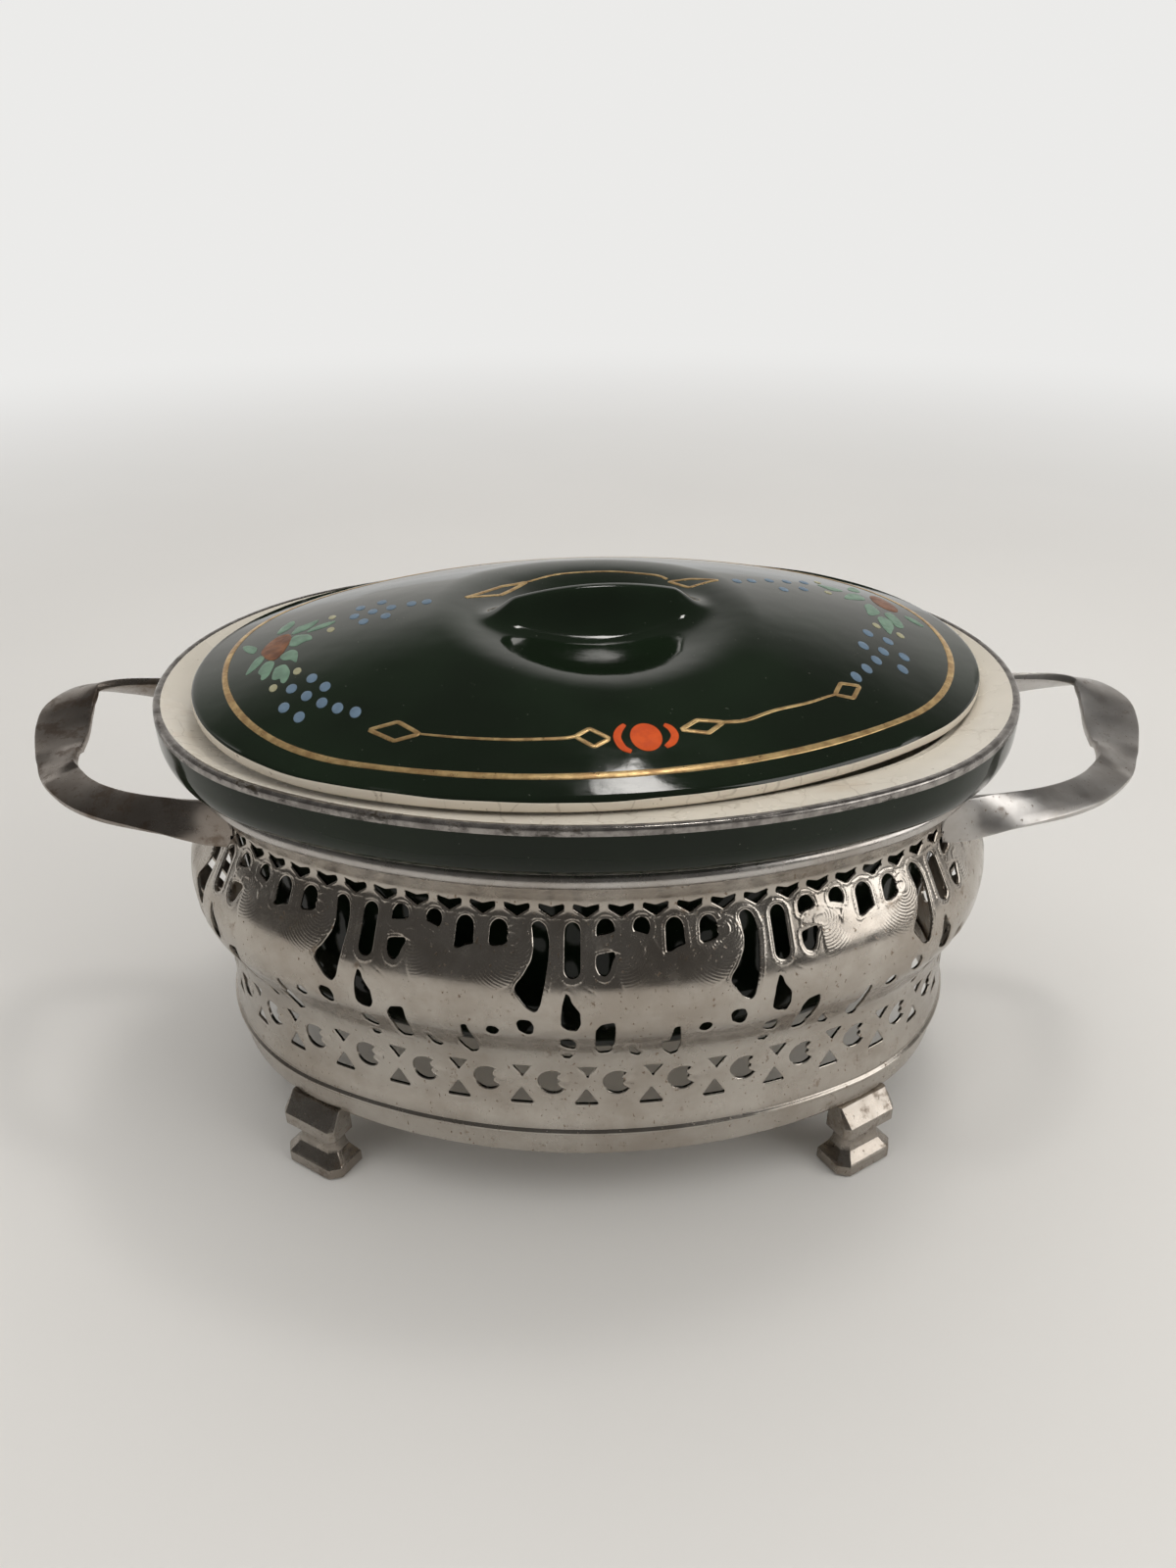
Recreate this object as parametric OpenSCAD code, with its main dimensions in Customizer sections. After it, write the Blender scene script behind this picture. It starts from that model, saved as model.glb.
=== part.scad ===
// Oval covered casserole of glazed earthenware in a pierced metal serving stand.
// Units are millimetres. The stand rests on Z = 0, its length lies along X and its
// width along Y, and the origin is the middle of the footprint.
//
// Every ring-like piece is the same four-centre oval drawn larger or smaller, so a
// piece is given by its half-length alone, and a gap between two pieces stays even
// all the way round.

/* [Plan oval] */
// Overall length of the dish at its rim
rim_length = 255; // [200:1:320]
// How much shorter the half-width is than the half-length, on every piece
oval_slim = 33; // [24:1:40]
// Distance from the middle to the centres of the two end arcs
end_centre = 44; // [40:1:56]

/* [Dish] */
// Height of the dish's rim above the surface the stand rests on
rim_z = 140; // [132:1:150]
// Height of the dish from its bottom to its rim
dish_h = 90; // [70:1:100]
// Height of the upright outer face of the rim band
band_h = 10; // [6:0.5:12]
// Width of the lip, from the rim's outer edge to the ledge inside it
lip_w = 14.2; // [12:0.2:15]
// Fall of the lip's top from its outer edge to its inner edge
lip_fall = 5; // [3:0.1:8]
// Drop from the lip's inner edge to the narrow ledge inside it
ledge_step = 0.8; // [0.5:0.1:2]
// Width of the ledge
ledge_w = 2; // [1:0.5:3]
// Wall thickness of the dish
dish_wall = 5; // [3.5:0.5:7]
// Thickness of the dish's floor
dish_floor = 6; // [4:0.5:9]
// Inset of the dish's bottom edge from the top of its body
dish_taper = 6; // [4:0.5:18]
// Radius of the dish's outer bottom corner
dish_corner = 12; // [6:0.5:16]

/* [Lid] */
// How far the lid's edge lies inside the rim's outer edge, before the lid is turned
lid_inset = 10.7; // [10:0.1:12]
// Angle the lid is turned in its seat, which leaves it riding on two places of the lip
lid_turn = 11; // [0:1:12]
// How far the lid lies off the middle towards +X
lid_shift = 2.5; // [0:0.1:3]
// Angle the lid tips towards the front right, about the line through those two places
lid_tip = 1.65; // [0:0.05:1.8]
// Thickness of the lid's edge
lid_edge_h = 3.6; // [3:0.2:6]
// Thickness of the lid's dome
lid_wall = 5; // [4:0.5:7]
// Rise of the dome above the lid's edge
dome_rise = 19; // [12:0.5:30]
// Power of the dome's curve: 2 is a parabola, more is flatter in the middle
dome_power = 1.8; // [1.5:0.1:3]
// Half-length of the finger recess round the grip
recess_l = 48; // [38:1:60]
// Half-width of the finger recess round the grip
recess_w = 54; // [40:1:60]
// Depth of the finger recess
recess_d = 13; // [6:0.5:16]
// Half-length of the grip ridge
grip_l = 36; // [28:1:40]
// Half-width of the grip ridge half-way up its sides
grip_w = 5.5; // [4:0.5:9]
// Height of the grip's crest above the dome's own crown
grip_rise = 3; // [0:0.5:10]
// How much lower the crest is near its two ends than in the middle
grip_drop = 6; // [0:0.5:8]

/* [Stand] */
// Diameter of the rolled bead along the stand's top edge
bead_d = 5.2; // [4:0.2:7]
// Half-length of the stand at the middle of the bead
bead_a = 118.4; // [118:0.2:119.4]
// Thickness of the stand's sheet metal
sheet_t = 0.9; // [0.6:0.1:1.2]
// Half-length of the sheet where it meets the bead
neck_a = 117.2; // [116.6:0.2:118]
// Half-length at the cove under the bead
cove_a = 115; // [114.6:0.2:117]
// Half-length at the shoulder
shoulder_a = 125.6; // [121:0.2:128]
// Half-length at the waist
waist_a = 118; // [116.6:0.2:120]
// Half-length at the foot of the pierced sheet
skirt_a = 118.8; // [117:0.2:121]

/* [Piercing] */
// Number of repeats of the pierced pattern round the stand
repeats = 12; // [8:1:14]
// Diameter of the round piercings in the ring row
ring_d = 8.6; // [6:0.2:9]
// Width of the arcade's slots
slot_w = 4.6; // [3.6:0.2:5.4]

/* [Base and feet] */
// Height of the feet, from the resting surface to the base band
foot_h = 24.5; // [18:0.5:32]
// Height of the base band under the pierced sheet
band_base_h = 11.5; // [8:0.5:16]
// How far the raised line on the base band stands out
line_out = 0.9; // [0.4:0.1:1.4]
// Length of a foot along the band
foot_l = 20; // [14:1:26]
// How far a foot's shoulder stands out from the band
foot_out = 5.2; // [3:0.2:8]
// Angle of the feet round the end arcs, from the long axis
foot_angle = 58; // [40:1:60]

/* [Handles] */
// Reach of a handle from the wall to the outer edge of its grip
handle_reach = 80; // [60:1:90]
// Distance from the long axis to a handle's root
handle_root_y = 41; // [34:1:44]
// Thickness of the handle strap
strap_t = 2.8; // [2:0.2:4]
// Height of a handle's root on the wall
root_h = 14; // [11:0.5:15]

/* [Clearances] */
// Gap between two bodies where one rests on the other
seat_gap = 0.3; // [0.2:0.05:0.5]
// Gap between the dish's body and the narrowest part of the stand
body_gap = 1.8; // [1.2:0.1:3]
// Solder gap between two fixed pieces of the stand
solder_gap = 0.1; // [0.05:0.05:0.2]

/* [Hidden] */
$fn = 96;

nickel = [0.72, 0.70, 0.67];
glaze_green = [0.05, 0.12, 0.08];

// ---- The four-centre oval ----
slim_gap = end_centre - oval_slim;
side_centre = (end_centre * end_centre - slim_gap * slim_gap) / (2 * slim_gap);
join_angle = atan2(side_centre, end_centre);

// Length round the oval of half-length a
function end_len(a) = (a - end_centre) * 2 * join_angle * PI / 180;
function side_len(a) = (a - oval_slim + side_centre) * 2 * (90 - join_angle) * PI / 180;
function oval_len(a) = 2 * (end_len(a) + side_len(a));

// Direction of the outward normal at share t of the way round a reference oval,
// measured from the middle of the front side towards +X
ref_a = 120;
function normal_angle(t) = let (
    s = (t - floor(t)) * oval_len(ref_a),
    h = side_len(ref_a) / 2,
    e = end_len(ref_a),
    deg_side = 180 / PI / (ref_a - oval_slim + side_centre),
    deg_end = 180 / PI / (ref_a - end_centre))
    s < h ? -90 + s * deg_side
    : s < h + e ? -join_angle + (s - h) * deg_end
    : s < 3 * h + e ? join_angle + (s - h - e) * deg_side
    : s < 3 * h + 2 * e ? 180 - join_angle + (s - 3 * h - e) * deg_end
    : 180 + join_angle + (s - 3 * h - 2 * e) * deg_side;

// Point of the oval of half-length a whose outward normal points at angle n
function wrap(n) = n - 360 * floor((n + 90) / 360);
function oval_xy(a, n) = let (w = wrap(n))
    w < -join_angle || w > 180 + join_angle
        ? [0, side_centre] + (a - oval_slim + side_centre) * [cos(w), sin(w)]
    : w <= join_angle
        ? [end_centre, 0] + (a - end_centre) * [cos(w), sin(w)]
    : w < 180 - join_angle
        ? [0, -side_centre] + (a - oval_slim + side_centre) * [cos(w), sin(w)]
        : [-end_centre, 0] + (a - end_centre) * [cos(w), sin(w)];

// The oval of half-length a at height z, as a ring of points
ring_steps = 72;
function oval_points(a, z) =
    [for (i = [0:ring_steps - 1]) let (p = oval_xy(a, normal_angle(i / ring_steps))) [p[0], p[1], z]];

// A closed skin over rings of points. Each ring runs anticlockwise from above, and the
// rings run up the outside first. A looped skin joins its last ring to its first, and
// an open one is closed by a fan to the middle of each end ring.
function middle(ring) = [for (k = [0:2]) [for (p = ring) p[k]] * [for (p = ring) 1 / len(ring)]];
module skin(rings, looped = false) {
    n = len(rings[0]);
    m = len(rings);
    points = concat([for (r = rings) each r], looped ? [] : [middle(rings[0]), middle(rings[m - 1])]);
    bands = looped ? m : m - 1;
    faces = concat(
        [for (j = [0:bands - 1], i = [0:n - 1]) let (
                k = (i + 1) % n, a = j * n + i, b = j * n + k,
                c = (j + 1) % m * n + k, d = (j + 1) % m * n + i)
            each [[a, d, b], [b, d, c]]],
        looped ? [] : [for (i = [0:n - 1]) let (k = (i + 1) % n) [m * n, i, k]],
        looped ? [] : [for (i = [0:n - 1]) let (k = (i + 1) % n, r = (m - 1) * n) [m * n + 1, r + k, r + i]]);
    polyhedron(points, faces);
}
// A closed profile of [half-length, height] points, anticlockwise, carried round the oval
module oval_ring(profile) skin([for (p = profile) oval_points(p[0], p[1])], looped = true);

// Points of an arc from angle a0 to a1 about c
function arc(c, r, a0, a1, steps) =
    [for (i = [0:steps]) let (t = a0 + (a1 - a0) * i / steps) [c[0] + r * cos(t), c[1] + r * sin(t)]];
function smooth(t) = let (s = max(0, min(1, t))) s * s * (3 - 2 * s);

// ---- Heights that pieces share ----
rim_a = rim_length / 2;
sheet_foot_z = foot_h + band_base_h;
bead_z = rim_z - band_h - 7.5 - seat_gap - bead_d / 2;
sheet_top_z = bead_z - bead_d / 2;
seat_z = bead_z + bead_d / 2 + seat_gap;
rim_edge_r = 1.6;
lip_in_a = rim_a - lip_w;
function lip_height(a) = rim_z - lip_fall * (rim_a - rim_edge_r - a) / (lip_w - rim_edge_r);
ledge_z = lip_height(lip_in_a) - ledge_step;
lid_a = rim_a - lid_inset;

// Half-length of the oval of the family that runs through x, y
function oval_through(x, y) = abs(y) * end_centre < (abs(x) - end_centre) * side_centre
    ? norm([abs(x) - end_centre, y]) + end_centre
    : norm([x, abs(y) + side_centre]) - side_centre + oval_slim;
function turned(p) = [
    p[0] * cos(lid_turn) - p[1] * sin(lid_turn) + lid_shift,
    p[0] * sin(lid_turn) + p[1] * cos(lid_turn)];
lid_outline = [for (n = [0:3:357]) turned(oval_xy(lid_a, n))];
lid_reach = max([for (q = lid_outline) oval_through(q[0], q[1])]);
// The lid bears where it reaches furthest out over the lip, and tips about the line through there
bearing = [for (q = lid_outline) if (oval_through(q[0], q[1]) > lid_reach - 0.001) q][0];
tip_axis = bearing / norm(bearing) * (bearing[1] < 0 ? -1 : 1);
function tip_drop(q) = tan(lid_tip) * (q[0] * tip_axis[1] - q[1] * tip_axis[0]);
function seat_height(a) = a > lip_in_a ? lip_height(a) : ledge_z;
lid_z = seat_gap + max([for (q = lid_outline) seat_height(oval_through(q[0], q[1])) + tip_drop(q)]);
lid_top_z = lid_z + lid_edge_h;
body_a = cove_a - sheet_t - body_gap;

// ---- Dish ----
module casserole_dish() color(glaze_green) {
    bottom_z = rim_z - dish_h;
    bottom_a = body_a - dish_taper;
    flare_z = seat_z + 7.5;
    inner_top_a = rim_a - lip_w - ledge_w;
    inner_low_a = body_a - dish_wall;
    floor_z = bottom_z + dish_floor;
    inner_r = dish_corner - dish_wall + 3;
    outside = concat(
        [[bottom_a - dish_corner, bottom_z]],
        arc([bottom_a - dish_corner, bottom_z + dish_corner], dish_corner, -80, -8, 6),
        [[body_a, seat_z - 14], [body_a, seat_z], [bead_a + 1.5, seat_z]],
        arc([rim_a - 6, flare_z], 6, -50, 0, 5),
        [[rim_a, rim_z - rim_edge_r]],
        arc([rim_a - rim_edge_r, rim_z - rim_edge_r], rim_edge_r, 20, 90, 4));
    inside = concat(
        [[lip_in_a, lip_height(lip_in_a)], [lip_in_a - 0.3, ledge_z],
         [inner_top_a, ledge_z], [inner_top_a, ledge_z - 4], [inner_low_a, seat_z - 10]],
        arc([bottom_a - dish_wall - inner_r, floor_z + inner_r], inner_r, 8, -90, 6));
    skin([for (p = concat(outside, inside)) oval_points(p[0], p[1])]);
}

// ---- Lid: a domed plate with a grip ridge in a finger recess ----
lid_w = lid_a - oval_slim;
function dome(x, y) = dome_rise * (1 - pow(norm([x / lid_a, y / lid_w]), dome_power));
// Share of the full recess depth at x, y
function recess(x, y) = let (q = min(1, norm([x / recess_l, y / recess_w]))) pow(1 - q * q, 2);
function saucer(x, y) = dome(x, y) - recess_d * recess(x, y);
// The grip's crest is an arch that sinks into the dome at its two ends
function crest(x) = dome_rise + grip_rise - grip_drop * pow(x / grip_l, 2);
function grip(x, y) = max(0, crest(x) - saucer(x, 0)) * (1 - smooth((abs(x) / grip_l - 0.65) / 0.4))
    / (1 + pow(abs(y) / grip_w, 3));
function lid_top(x, y) = lid_top_z + saucer(x, y) + grip(x, y);
function lid_under(x, y) = lid_top_z + saucer(x, y) - lid_wall;
// Half-lengths and half-widths of the rings of points over the dome, the recess and the grip
dome_rings = [for (u = [1, 0.96, 0.88, 0.78, 0.67]) [lid_a, lid_w] * u];
recess_rings = [for (u = [1, 0.84, 0.68, 0.52]) [recess_l * (0.8 + 0.2 * u), recess_w * u]];
grip_rings = [[1.06, 3.4], [1, 2.2], [0.94, 1.5], [0.86, 1], [0.76, 0.6], [0.6, 0.25]];
lid_rings = concat(dome_rings, recess_rings, [for (u = grip_rings) [grip_l * u[0], grip_w * u[1]]]);
function lid_ring(k, top) = [for (p = oval_points(lid_a, 0)) let (
        x = p[0] * lid_rings[k][0] / lid_a,
        y = p[1] * lid_rings[k][1] / lid_w)
    [x, y, top ? (k == 0 ? lid_top_z - 0.8 : lid_top(x, y)) : (k < 2 ? lid_z : lid_under(x, y))]];
module tipped() translate([0, 0, lid_z]) rotate(a = lid_tip, v = [tip_axis[0], tip_axis[1], 0])
    translate([0, 0, -lid_z]) children();
module lid() color(glaze_green) tipped() translate([lid_shift, 0, 0]) rotate([0, 0, lid_turn]) {
    under_last = len(dome_rings) + len(recess_rings);
    last = len(lid_rings) - 1;
    skin(concat(
        [for (k = [under_last:-1:0]) lid_ring(k, false)],
        [for (k = [0:last]) lid_ring(k, true)]));
}

// ---- Pierced sheet ----
// Half-length of the sheet's outer face at share h of its height
function wall_a(h) =
    h > 0.9 ? neck_a + (cove_a - neck_a) * smooth((1 - h) / 0.1)
    : h > 0.58 ? cove_a + (shoulder_a - cove_a) * smooth(pow((0.9 - h) / 0.32, 0.8))
    : h > 0.48 ? shoulder_a
    : h > 0.3 ? shoulder_a + (waist_a - shoulder_a) * smooth((0.48 - h) / 0.18)
    : waist_a + (skirt_a - waist_a) * smooth((0.2 - h) / 0.2);
function sheet_a(z) = wall_a((z - sheet_foot_z) / (sheet_top_z - sheet_foot_z));

// The pattern is a grid of cells, some of them open. A bay is one arch of the arcade,
// six bays are one repeat, and each bay has two columns: its opening and its pillar.
// Row lines, from the top, as shares of the sheet's height.
row_h = [1, 0.912, 0.875, 0.86, 0.787, 0.698, 0.622, 0.533, 0.372, 0.268, 0.212, 0.152, 0.09, 0];
bays = 6 * repeats;
bay_w = oval_len(ref_a) / bays;
slot_half = slot_w / bay_w / 2;
ring_half = ring_d / bay_w / 2;
// Rows that are open in each of the six bays of a repeat
open_rows = [[1, 3, 4, 6], [1, 3, 7], [1, 3], [1, 3, 4, 7], [1, 3], [1, 3, 4, 5]];
function is_ring(bay) = bay % 2 == 1;
function is_open(bay, row) =
    row == 9 || row == 11 ? true
    : row == 10 ? is_ring(bay)
    : len(search(row, open_rows[bay % 6])) > 0;
// Half-width of an opening, in bays, at a row line
function half_at(bay, line) =
    line == 1 ? 0.4
    : line == 2 ? 0.24
    : line == 3 ? slot_half * 0.7
    : line < 9 ? slot_half
    : line > 12 ? slot_half
    : is_ring(bay) ? (line == 10 || line == 11 ? ring_half : ring_half * 0.42)
    : (line == 10 || line == 11 ? 0.07 : 0.3);
ring_shift = 0.36;
pattern_start = -0.45;
function shift_at(line) = line < 8 ? 0 : line == 8 ? ring_shift / 2 : ring_shift;
function height_at(bay, line) = row_h[line]
    - (line == 9 && is_ring(bay) ? 0.018 : 0) + (line == 12 && is_ring(bay) ? 0.026 : 0);
function cell_point(i, line, inset) = let (
    bay = floor(i / 2),
    side = i % 2 == 0 ? -1 : 1,
    place = pattern_start + bay + side * half_at(bay, line) + shift_at(line),
    h = height_at(bay, line),
    p = oval_xy(wall_a(h) - inset, normal_angle(place / bays)))
    [p[0], p[1], sheet_foot_z + h * (sheet_top_z - sheet_foot_z)];

cols = 2 * bays;
rows = len(row_h) - 1;
function solid_cell(i, row) = row >= 0 && row < rows
    && !((i % cols) % 2 == 0 && is_open(floor((i % cols) / 2), row));
function quad(a, b, c, d) = [[a, b, c], [a, c, d]];

module pierced_gallery() color(nickel) {
    layer = cols * (rows + 1);
    points = [for (inset = [0, sheet_t], line = [0:rows], i = [0:cols - 1]) cell_point(i, line, inset)];
    faces = [for (row = [0:rows - 1], i = [0:cols - 1]) if (solid_cell(i, row)) let (
            k = (i + 1) % cols,
            a = row * cols + i, b = row * cols + k, c = b + cols, d = a + cols)
        each concat(
            quad(a, b, c, d),
            quad(layer + a, layer + d, layer + c, layer + b),
            solid_cell(i, row - 1) ? [] : quad(a, layer + a, layer + b, b),
            solid_cell(i, row + 1) ? [] : quad(d, c, layer + c, layer + d),
            solid_cell(i + cols - 1, row) ? [] : quad(a, d, layer + d, layer + a),
            solid_cell(i + 1, row) ? [] : quad(b, layer + b, layer + c, c))];
    polyhedron(points, faces);
}

// ---- Rolled bead, eight-sided, its flats as far apart as its diameter ----
module rim_bead() color(nickel)
    oval_ring([for (t = [22.5:45:337.5]) [bead_a, bead_z] + bead_d / 2 / cos(22.5) * [cos(t), sin(t)]]);

// ---- Base band: a raised line over a plain flange, with a hem turned inwards ----
band_t = 2 * sheet_t;
module base_band() color(nickel) {
    top = sheet_foot_z;
    low_a = skirt_a - 0.8;
    oval_ring([
        [skirt_a - band_t, top], [skirt_a - band_t, top - 3.4], [low_a - band_t, top - 4.4],
        [low_a - band_t, foot_h], [low_a - 0.5, foot_h], [low_a, foot_h + 0.6],
        [low_a, top - 3.8], [skirt_a, top - 3.2], [skirt_a + line_out, top - 2.6],
        [skirt_a + line_out, top - 1.8], [skirt_a, top - 1.2], [skirt_a, top]]);
}

// ---- Feet: a bevelled block, a cove and a flared pad, with a tang behind the band ----
// A level of the foot is [height, outward reach, inward reach, half-length]
function foot_outline(v) = let (u0 = -v[2], u1 = v[1], h = v[3], z = v[0] * foot_h / 24.5)
    [[u0, h, z], [u0, -h, z], [u1 - 1.5, -h, z], [u1, 1.5 - h, z], [u1, h - 1.5, z], [u1 - 1.5, h, z]];
module foot(angle) color(nickel) {
    low_a = skirt_a - 0.8;
    half = foot_l / 2;
    levels = [
        [0, foot_out + 0.2, 5, half - 0.2], [0.8, foot_out + 1.2, 5.6, half + 0.8],
        [4.4, foot_out + 1.2, 5.6, half + 0.8], [6, foot_out - 0.6, 4.7, half - 0.8],
        [7.6, foot_out - 1.9, 4, half - 2], [9.2, foot_out - 2.7, 3.6, half - 2.7],
        [11.2, foot_out - 2.9, 3.4, half - 2.9], [13, foot_out - 2.2, 3.6, half - 2.2],
        [14.4, foot_out - 0.8, 3.8, half - 0.8], [15.2, foot_out, 4, half],
        [19, foot_out, 4, half], [24.5, 0.4, 4, half - 0.6]];
    n = 6;
    m = len(levels);
    points = [for (v = levels) each foot_outline(v)];
    faces = concat(
        [[for (i = [0:n - 1]) i]],
        [[for (i = [n - 1:-1:0]) (m - 1) * n + i]],
        [for (j = [0:m - 2], i = [0:n - 1]) let (k = (i + 1) % n)
            each [[j * n + i, j * n + n + i, j * n + k], [j * n + k, j * n + n + i, j * n + n + k]]]);
    at = oval_xy(low_a, angle);
    translate([at[0], at[1], 0]) rotate([0, 0, angle]) {
        polyhedron(points, faces);
        translate([-4, 1 - half / 2, foot_h - 1]) cube([3.4 - band_t, half - 2, 6.5]);
    }
}
module front_left_foot() foot(180 + foot_angle);
module front_right_foot() foot(-foot_angle);
module back_left_foot() foot(180 - foot_angle);
module back_right_foot() foot(foot_angle);

// ---- Handles: a flat strap that rises from an upright root and turns flat at the grip ----
// Stations from the front root to the back root: reach share, place across as a share of
// the root's, height above the handle's middle, half-width, tilt from flat, in degrees.
strap_stations = [
    [-0.02, -1.02, 0, 0.5, 88], [0.07, -1.01, 0.3, 0.48, 82], [0.15, -1, 1.2, 0.42, 66],
    [0.23, -0.97, 1.8, 0.38, 48], [0.34, -0.9, 1.6, 0.37, 34], [0.46, -0.79, 1, 0.38, 26],
    [0.575, -0.65, 0.8, 0.39, 20], [0.675, -0.46, 0.6, 0.4, 14], [0.76, -0.22, 0.6, 0.43, 10],
    [0.825, 0.2, 1.7, 0.6, 8], [0.86, 0.46, 3.7, 0.64, 8], [0.865, 0.66, 5.8, 0.62, 9],
    [0.82, 0.86, 7.4, 0.52, 18], [0.7, 0.96, 6.4, 0.45, 36], [0.525, 1, 4.4, 0.44, 52],
    [0.33, 1.01, 2.4, 0.47, 68], [0.15, 1.01, 1, 0.5, 80], [-0.02, 1.02, 0, 0.5, 88]];
handle_z = sheet_top_z - root_h / 2 - 0.2;
root_r = sheet_a(handle_z) - end_centre;
root_x = end_centre + sqrt(root_r * root_r - handle_root_y * handle_root_y);

function strap_centre(v) = [root_x + v[0] * handle_reach, v[1] * handle_root_y, handle_z + v[2]];
function plan_dir(i) = let (n = len(strap_stations),
        a = strap_centre(strap_stations[max(0, i - 1)]),
        b = strap_centre(strap_stations[min(n - 1, i + 1)]),
        d = [b[0] - a[0], b[1] - a[1]]) d / norm(d);
function strap_section(i) = let (
        v = strap_stations[i],
        c = strap_centre(v),
        d = plan_dir(i),
        out = [d[1], -d[0]],
        w = v[3] * root_h,
        across = [out[0] * cos(v[4]), out[1] * cos(v[4]), -sin(v[4])],
        up = [out[0] * sin(v[4]), out[1] * sin(v[4]), cos(v[4])],
        t = strap_t / 2,
        e = 0.6)
    [for (q = [[-w, -t + e], [-w + e, -t], [w - e, -t], [w, -t + e],
               [w, t - e], [w - e, t], [-w + e, t], [-w, t - e]])
        c + across * q[0] + up * q[1]];
// A root's points are brought onto the wall, just clear of the sheet
function onto_wall(p) = let (
        r = sheet_a(p[2]) + solder_gap - end_centre,
        y = p[1])
    [end_centre + sqrt(r * r - y * y), y, p[2]];

module handle_strap() {
    n = 8;
    m = len(strap_stations);
    points = [for (i = [0:m - 1]) let (s = strap_section(i))
        each [for (p = s) i == 0 || i == m - 1 ? onto_wall(p) : p]];
    faces = concat(
        [[for (i = [n - 1:-1:0]) i]],
        [[for (i = [0:n - 1]) (m - 1) * n + i]],
        [for (j = [0:m - 2], i = [0:n - 1]) let (k = (i + 1) % n)
            each [[j * n + i, j * n + k, j * n + n + i], [j * n + k, j * n + n + k, j * n + n + i]]]);
    polyhedron(points, faces);
}
module right_handle() color(nickel) handle_strap();
module left_handle() color(nickel) mirror([1, 0, 0]) handle_strap();

casserole_dish();
lid();
pierced_gallery();
rim_bead();
base_band();
left_handle();
right_handle();
front_left_foot();
front_right_foot();
back_left_foot();
back_right_foot();
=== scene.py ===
import math
import bpy
import numpy as np
from mathutils import Matrix, Vector, kdtree
from mathutils.geometry import delaunay_2d_cdt

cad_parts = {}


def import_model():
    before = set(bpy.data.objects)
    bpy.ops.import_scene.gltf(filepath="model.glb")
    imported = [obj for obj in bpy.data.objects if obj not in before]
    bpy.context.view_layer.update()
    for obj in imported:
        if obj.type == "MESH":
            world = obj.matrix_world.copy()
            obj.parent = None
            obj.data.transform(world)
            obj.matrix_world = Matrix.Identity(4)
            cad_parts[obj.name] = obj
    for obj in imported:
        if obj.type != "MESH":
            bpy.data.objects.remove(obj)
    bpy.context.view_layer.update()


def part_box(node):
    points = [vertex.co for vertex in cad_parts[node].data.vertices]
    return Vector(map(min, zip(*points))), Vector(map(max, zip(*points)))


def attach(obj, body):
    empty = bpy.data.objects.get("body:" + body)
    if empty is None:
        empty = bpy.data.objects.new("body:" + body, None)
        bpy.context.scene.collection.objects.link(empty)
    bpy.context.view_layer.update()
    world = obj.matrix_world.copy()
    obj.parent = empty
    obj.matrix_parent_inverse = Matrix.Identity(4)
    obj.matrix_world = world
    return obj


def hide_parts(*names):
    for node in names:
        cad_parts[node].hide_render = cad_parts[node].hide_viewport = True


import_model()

# Lengths in this script are millimetres, and meshes are written in metres.
MM = 0.001
AROUND = 288  # points round the dish, the lid and the rings of the stand
dish_lo, dish_hi = [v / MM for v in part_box("casserole_dish")]
lid_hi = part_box("lid")[1] / MM
sheet_lo, sheet_hi = [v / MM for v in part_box("pierced_gallery")]
bead_lo, bead_hi = [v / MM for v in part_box("rim_bead")]
band_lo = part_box("base_band")[0] / MM


# ---------------------------------------------------------------- the oval family
# Each oval has two end arcs and two side arcs, and is known by its half-length a.
RIM_A = dish_hi.x
OVAL_SLIM = dish_hi.x - dish_hi.y
END_CENTRE = 44.0
END_OFFSET = END_CENTRE - OVAL_SLIM
SIDE_CENTRE = (END_CENTRE ** 2 - END_OFFSET ** 2) / (2 * END_OFFSET)
JOIN = math.atan2(SIDE_CENTRE, END_CENTRE)
# The way round is measured along the oval of half-length REF_A.
REF_A = 120.0
SIDE_R = REF_A - OVAL_SLIM + SIDE_CENTRE
END_R = REF_A - END_CENTRE
SIDE_LEN = SIDE_R * (math.pi - 2 * JOIN)
END_LEN = END_R * 2 * JOIN
OVAL_LEN = 2 * (SIDE_LEN + END_LEN)


def normal_angle(t):
    """Angle of the outward normal at share t of the way round, from the front middle towards +X."""
    s = np.mod(np.asarray(t, float), 1.0) * OVAL_LEN
    h = SIDE_LEN / 2
    return np.select(
        [s < h, s < h + END_LEN, s < 3 * h + END_LEN, s < 3 * h + 2 * END_LEN],
        [
            -math.pi / 2 + s / SIDE_R,
            -JOIN + (s - h) / END_R,
            JOIN + (s - h - END_LEN) / SIDE_R,
            math.pi - JOIN + (s - 3 * h - END_LEN) / END_R,
        ],
        math.pi + JOIN + (s - 3 * h - 2 * END_LEN) / SIDE_R,
    )


def oval_xy(a, n):
    """Point of the oval of half-length a whose outward normal points at angle n."""
    w = np.mod(np.asarray(n, float) + math.pi / 2, 2 * math.pi) - math.pi / 2
    side_r = a - OVAL_SLIM + SIDE_CENTRE
    end_r = a - END_CENTRE
    on_front = (w < -JOIN) | (w > math.pi + JOIN)
    on_right = (w >= -JOIN) & (w <= JOIN)
    on_back = (w > JOIN) & (w < math.pi - JOIN)
    radius = np.where(on_front | on_back, side_r, end_r)
    cx = np.where(on_front | on_back, 0.0, np.where(on_right, END_CENTRE, -END_CENTRE))
    cy = np.where(on_front, SIDE_CENTRE, np.where(on_back, -SIDE_CENTRE, 0.0))
    return cx + radius * np.cos(w), cy + radius * np.sin(w)


# share of the way round and normal angle of the points that every ring has
SHARE = np.arange(AROUND) / AROUND
NORMAL = normal_angle(SHARE)


def smooth(t):
    """Eases from 0 to 1 as t goes from 0 to 1."""
    s = np.clip(t, 0.0, 1.0)
    return s * s * (3 - 2 * s)


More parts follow.
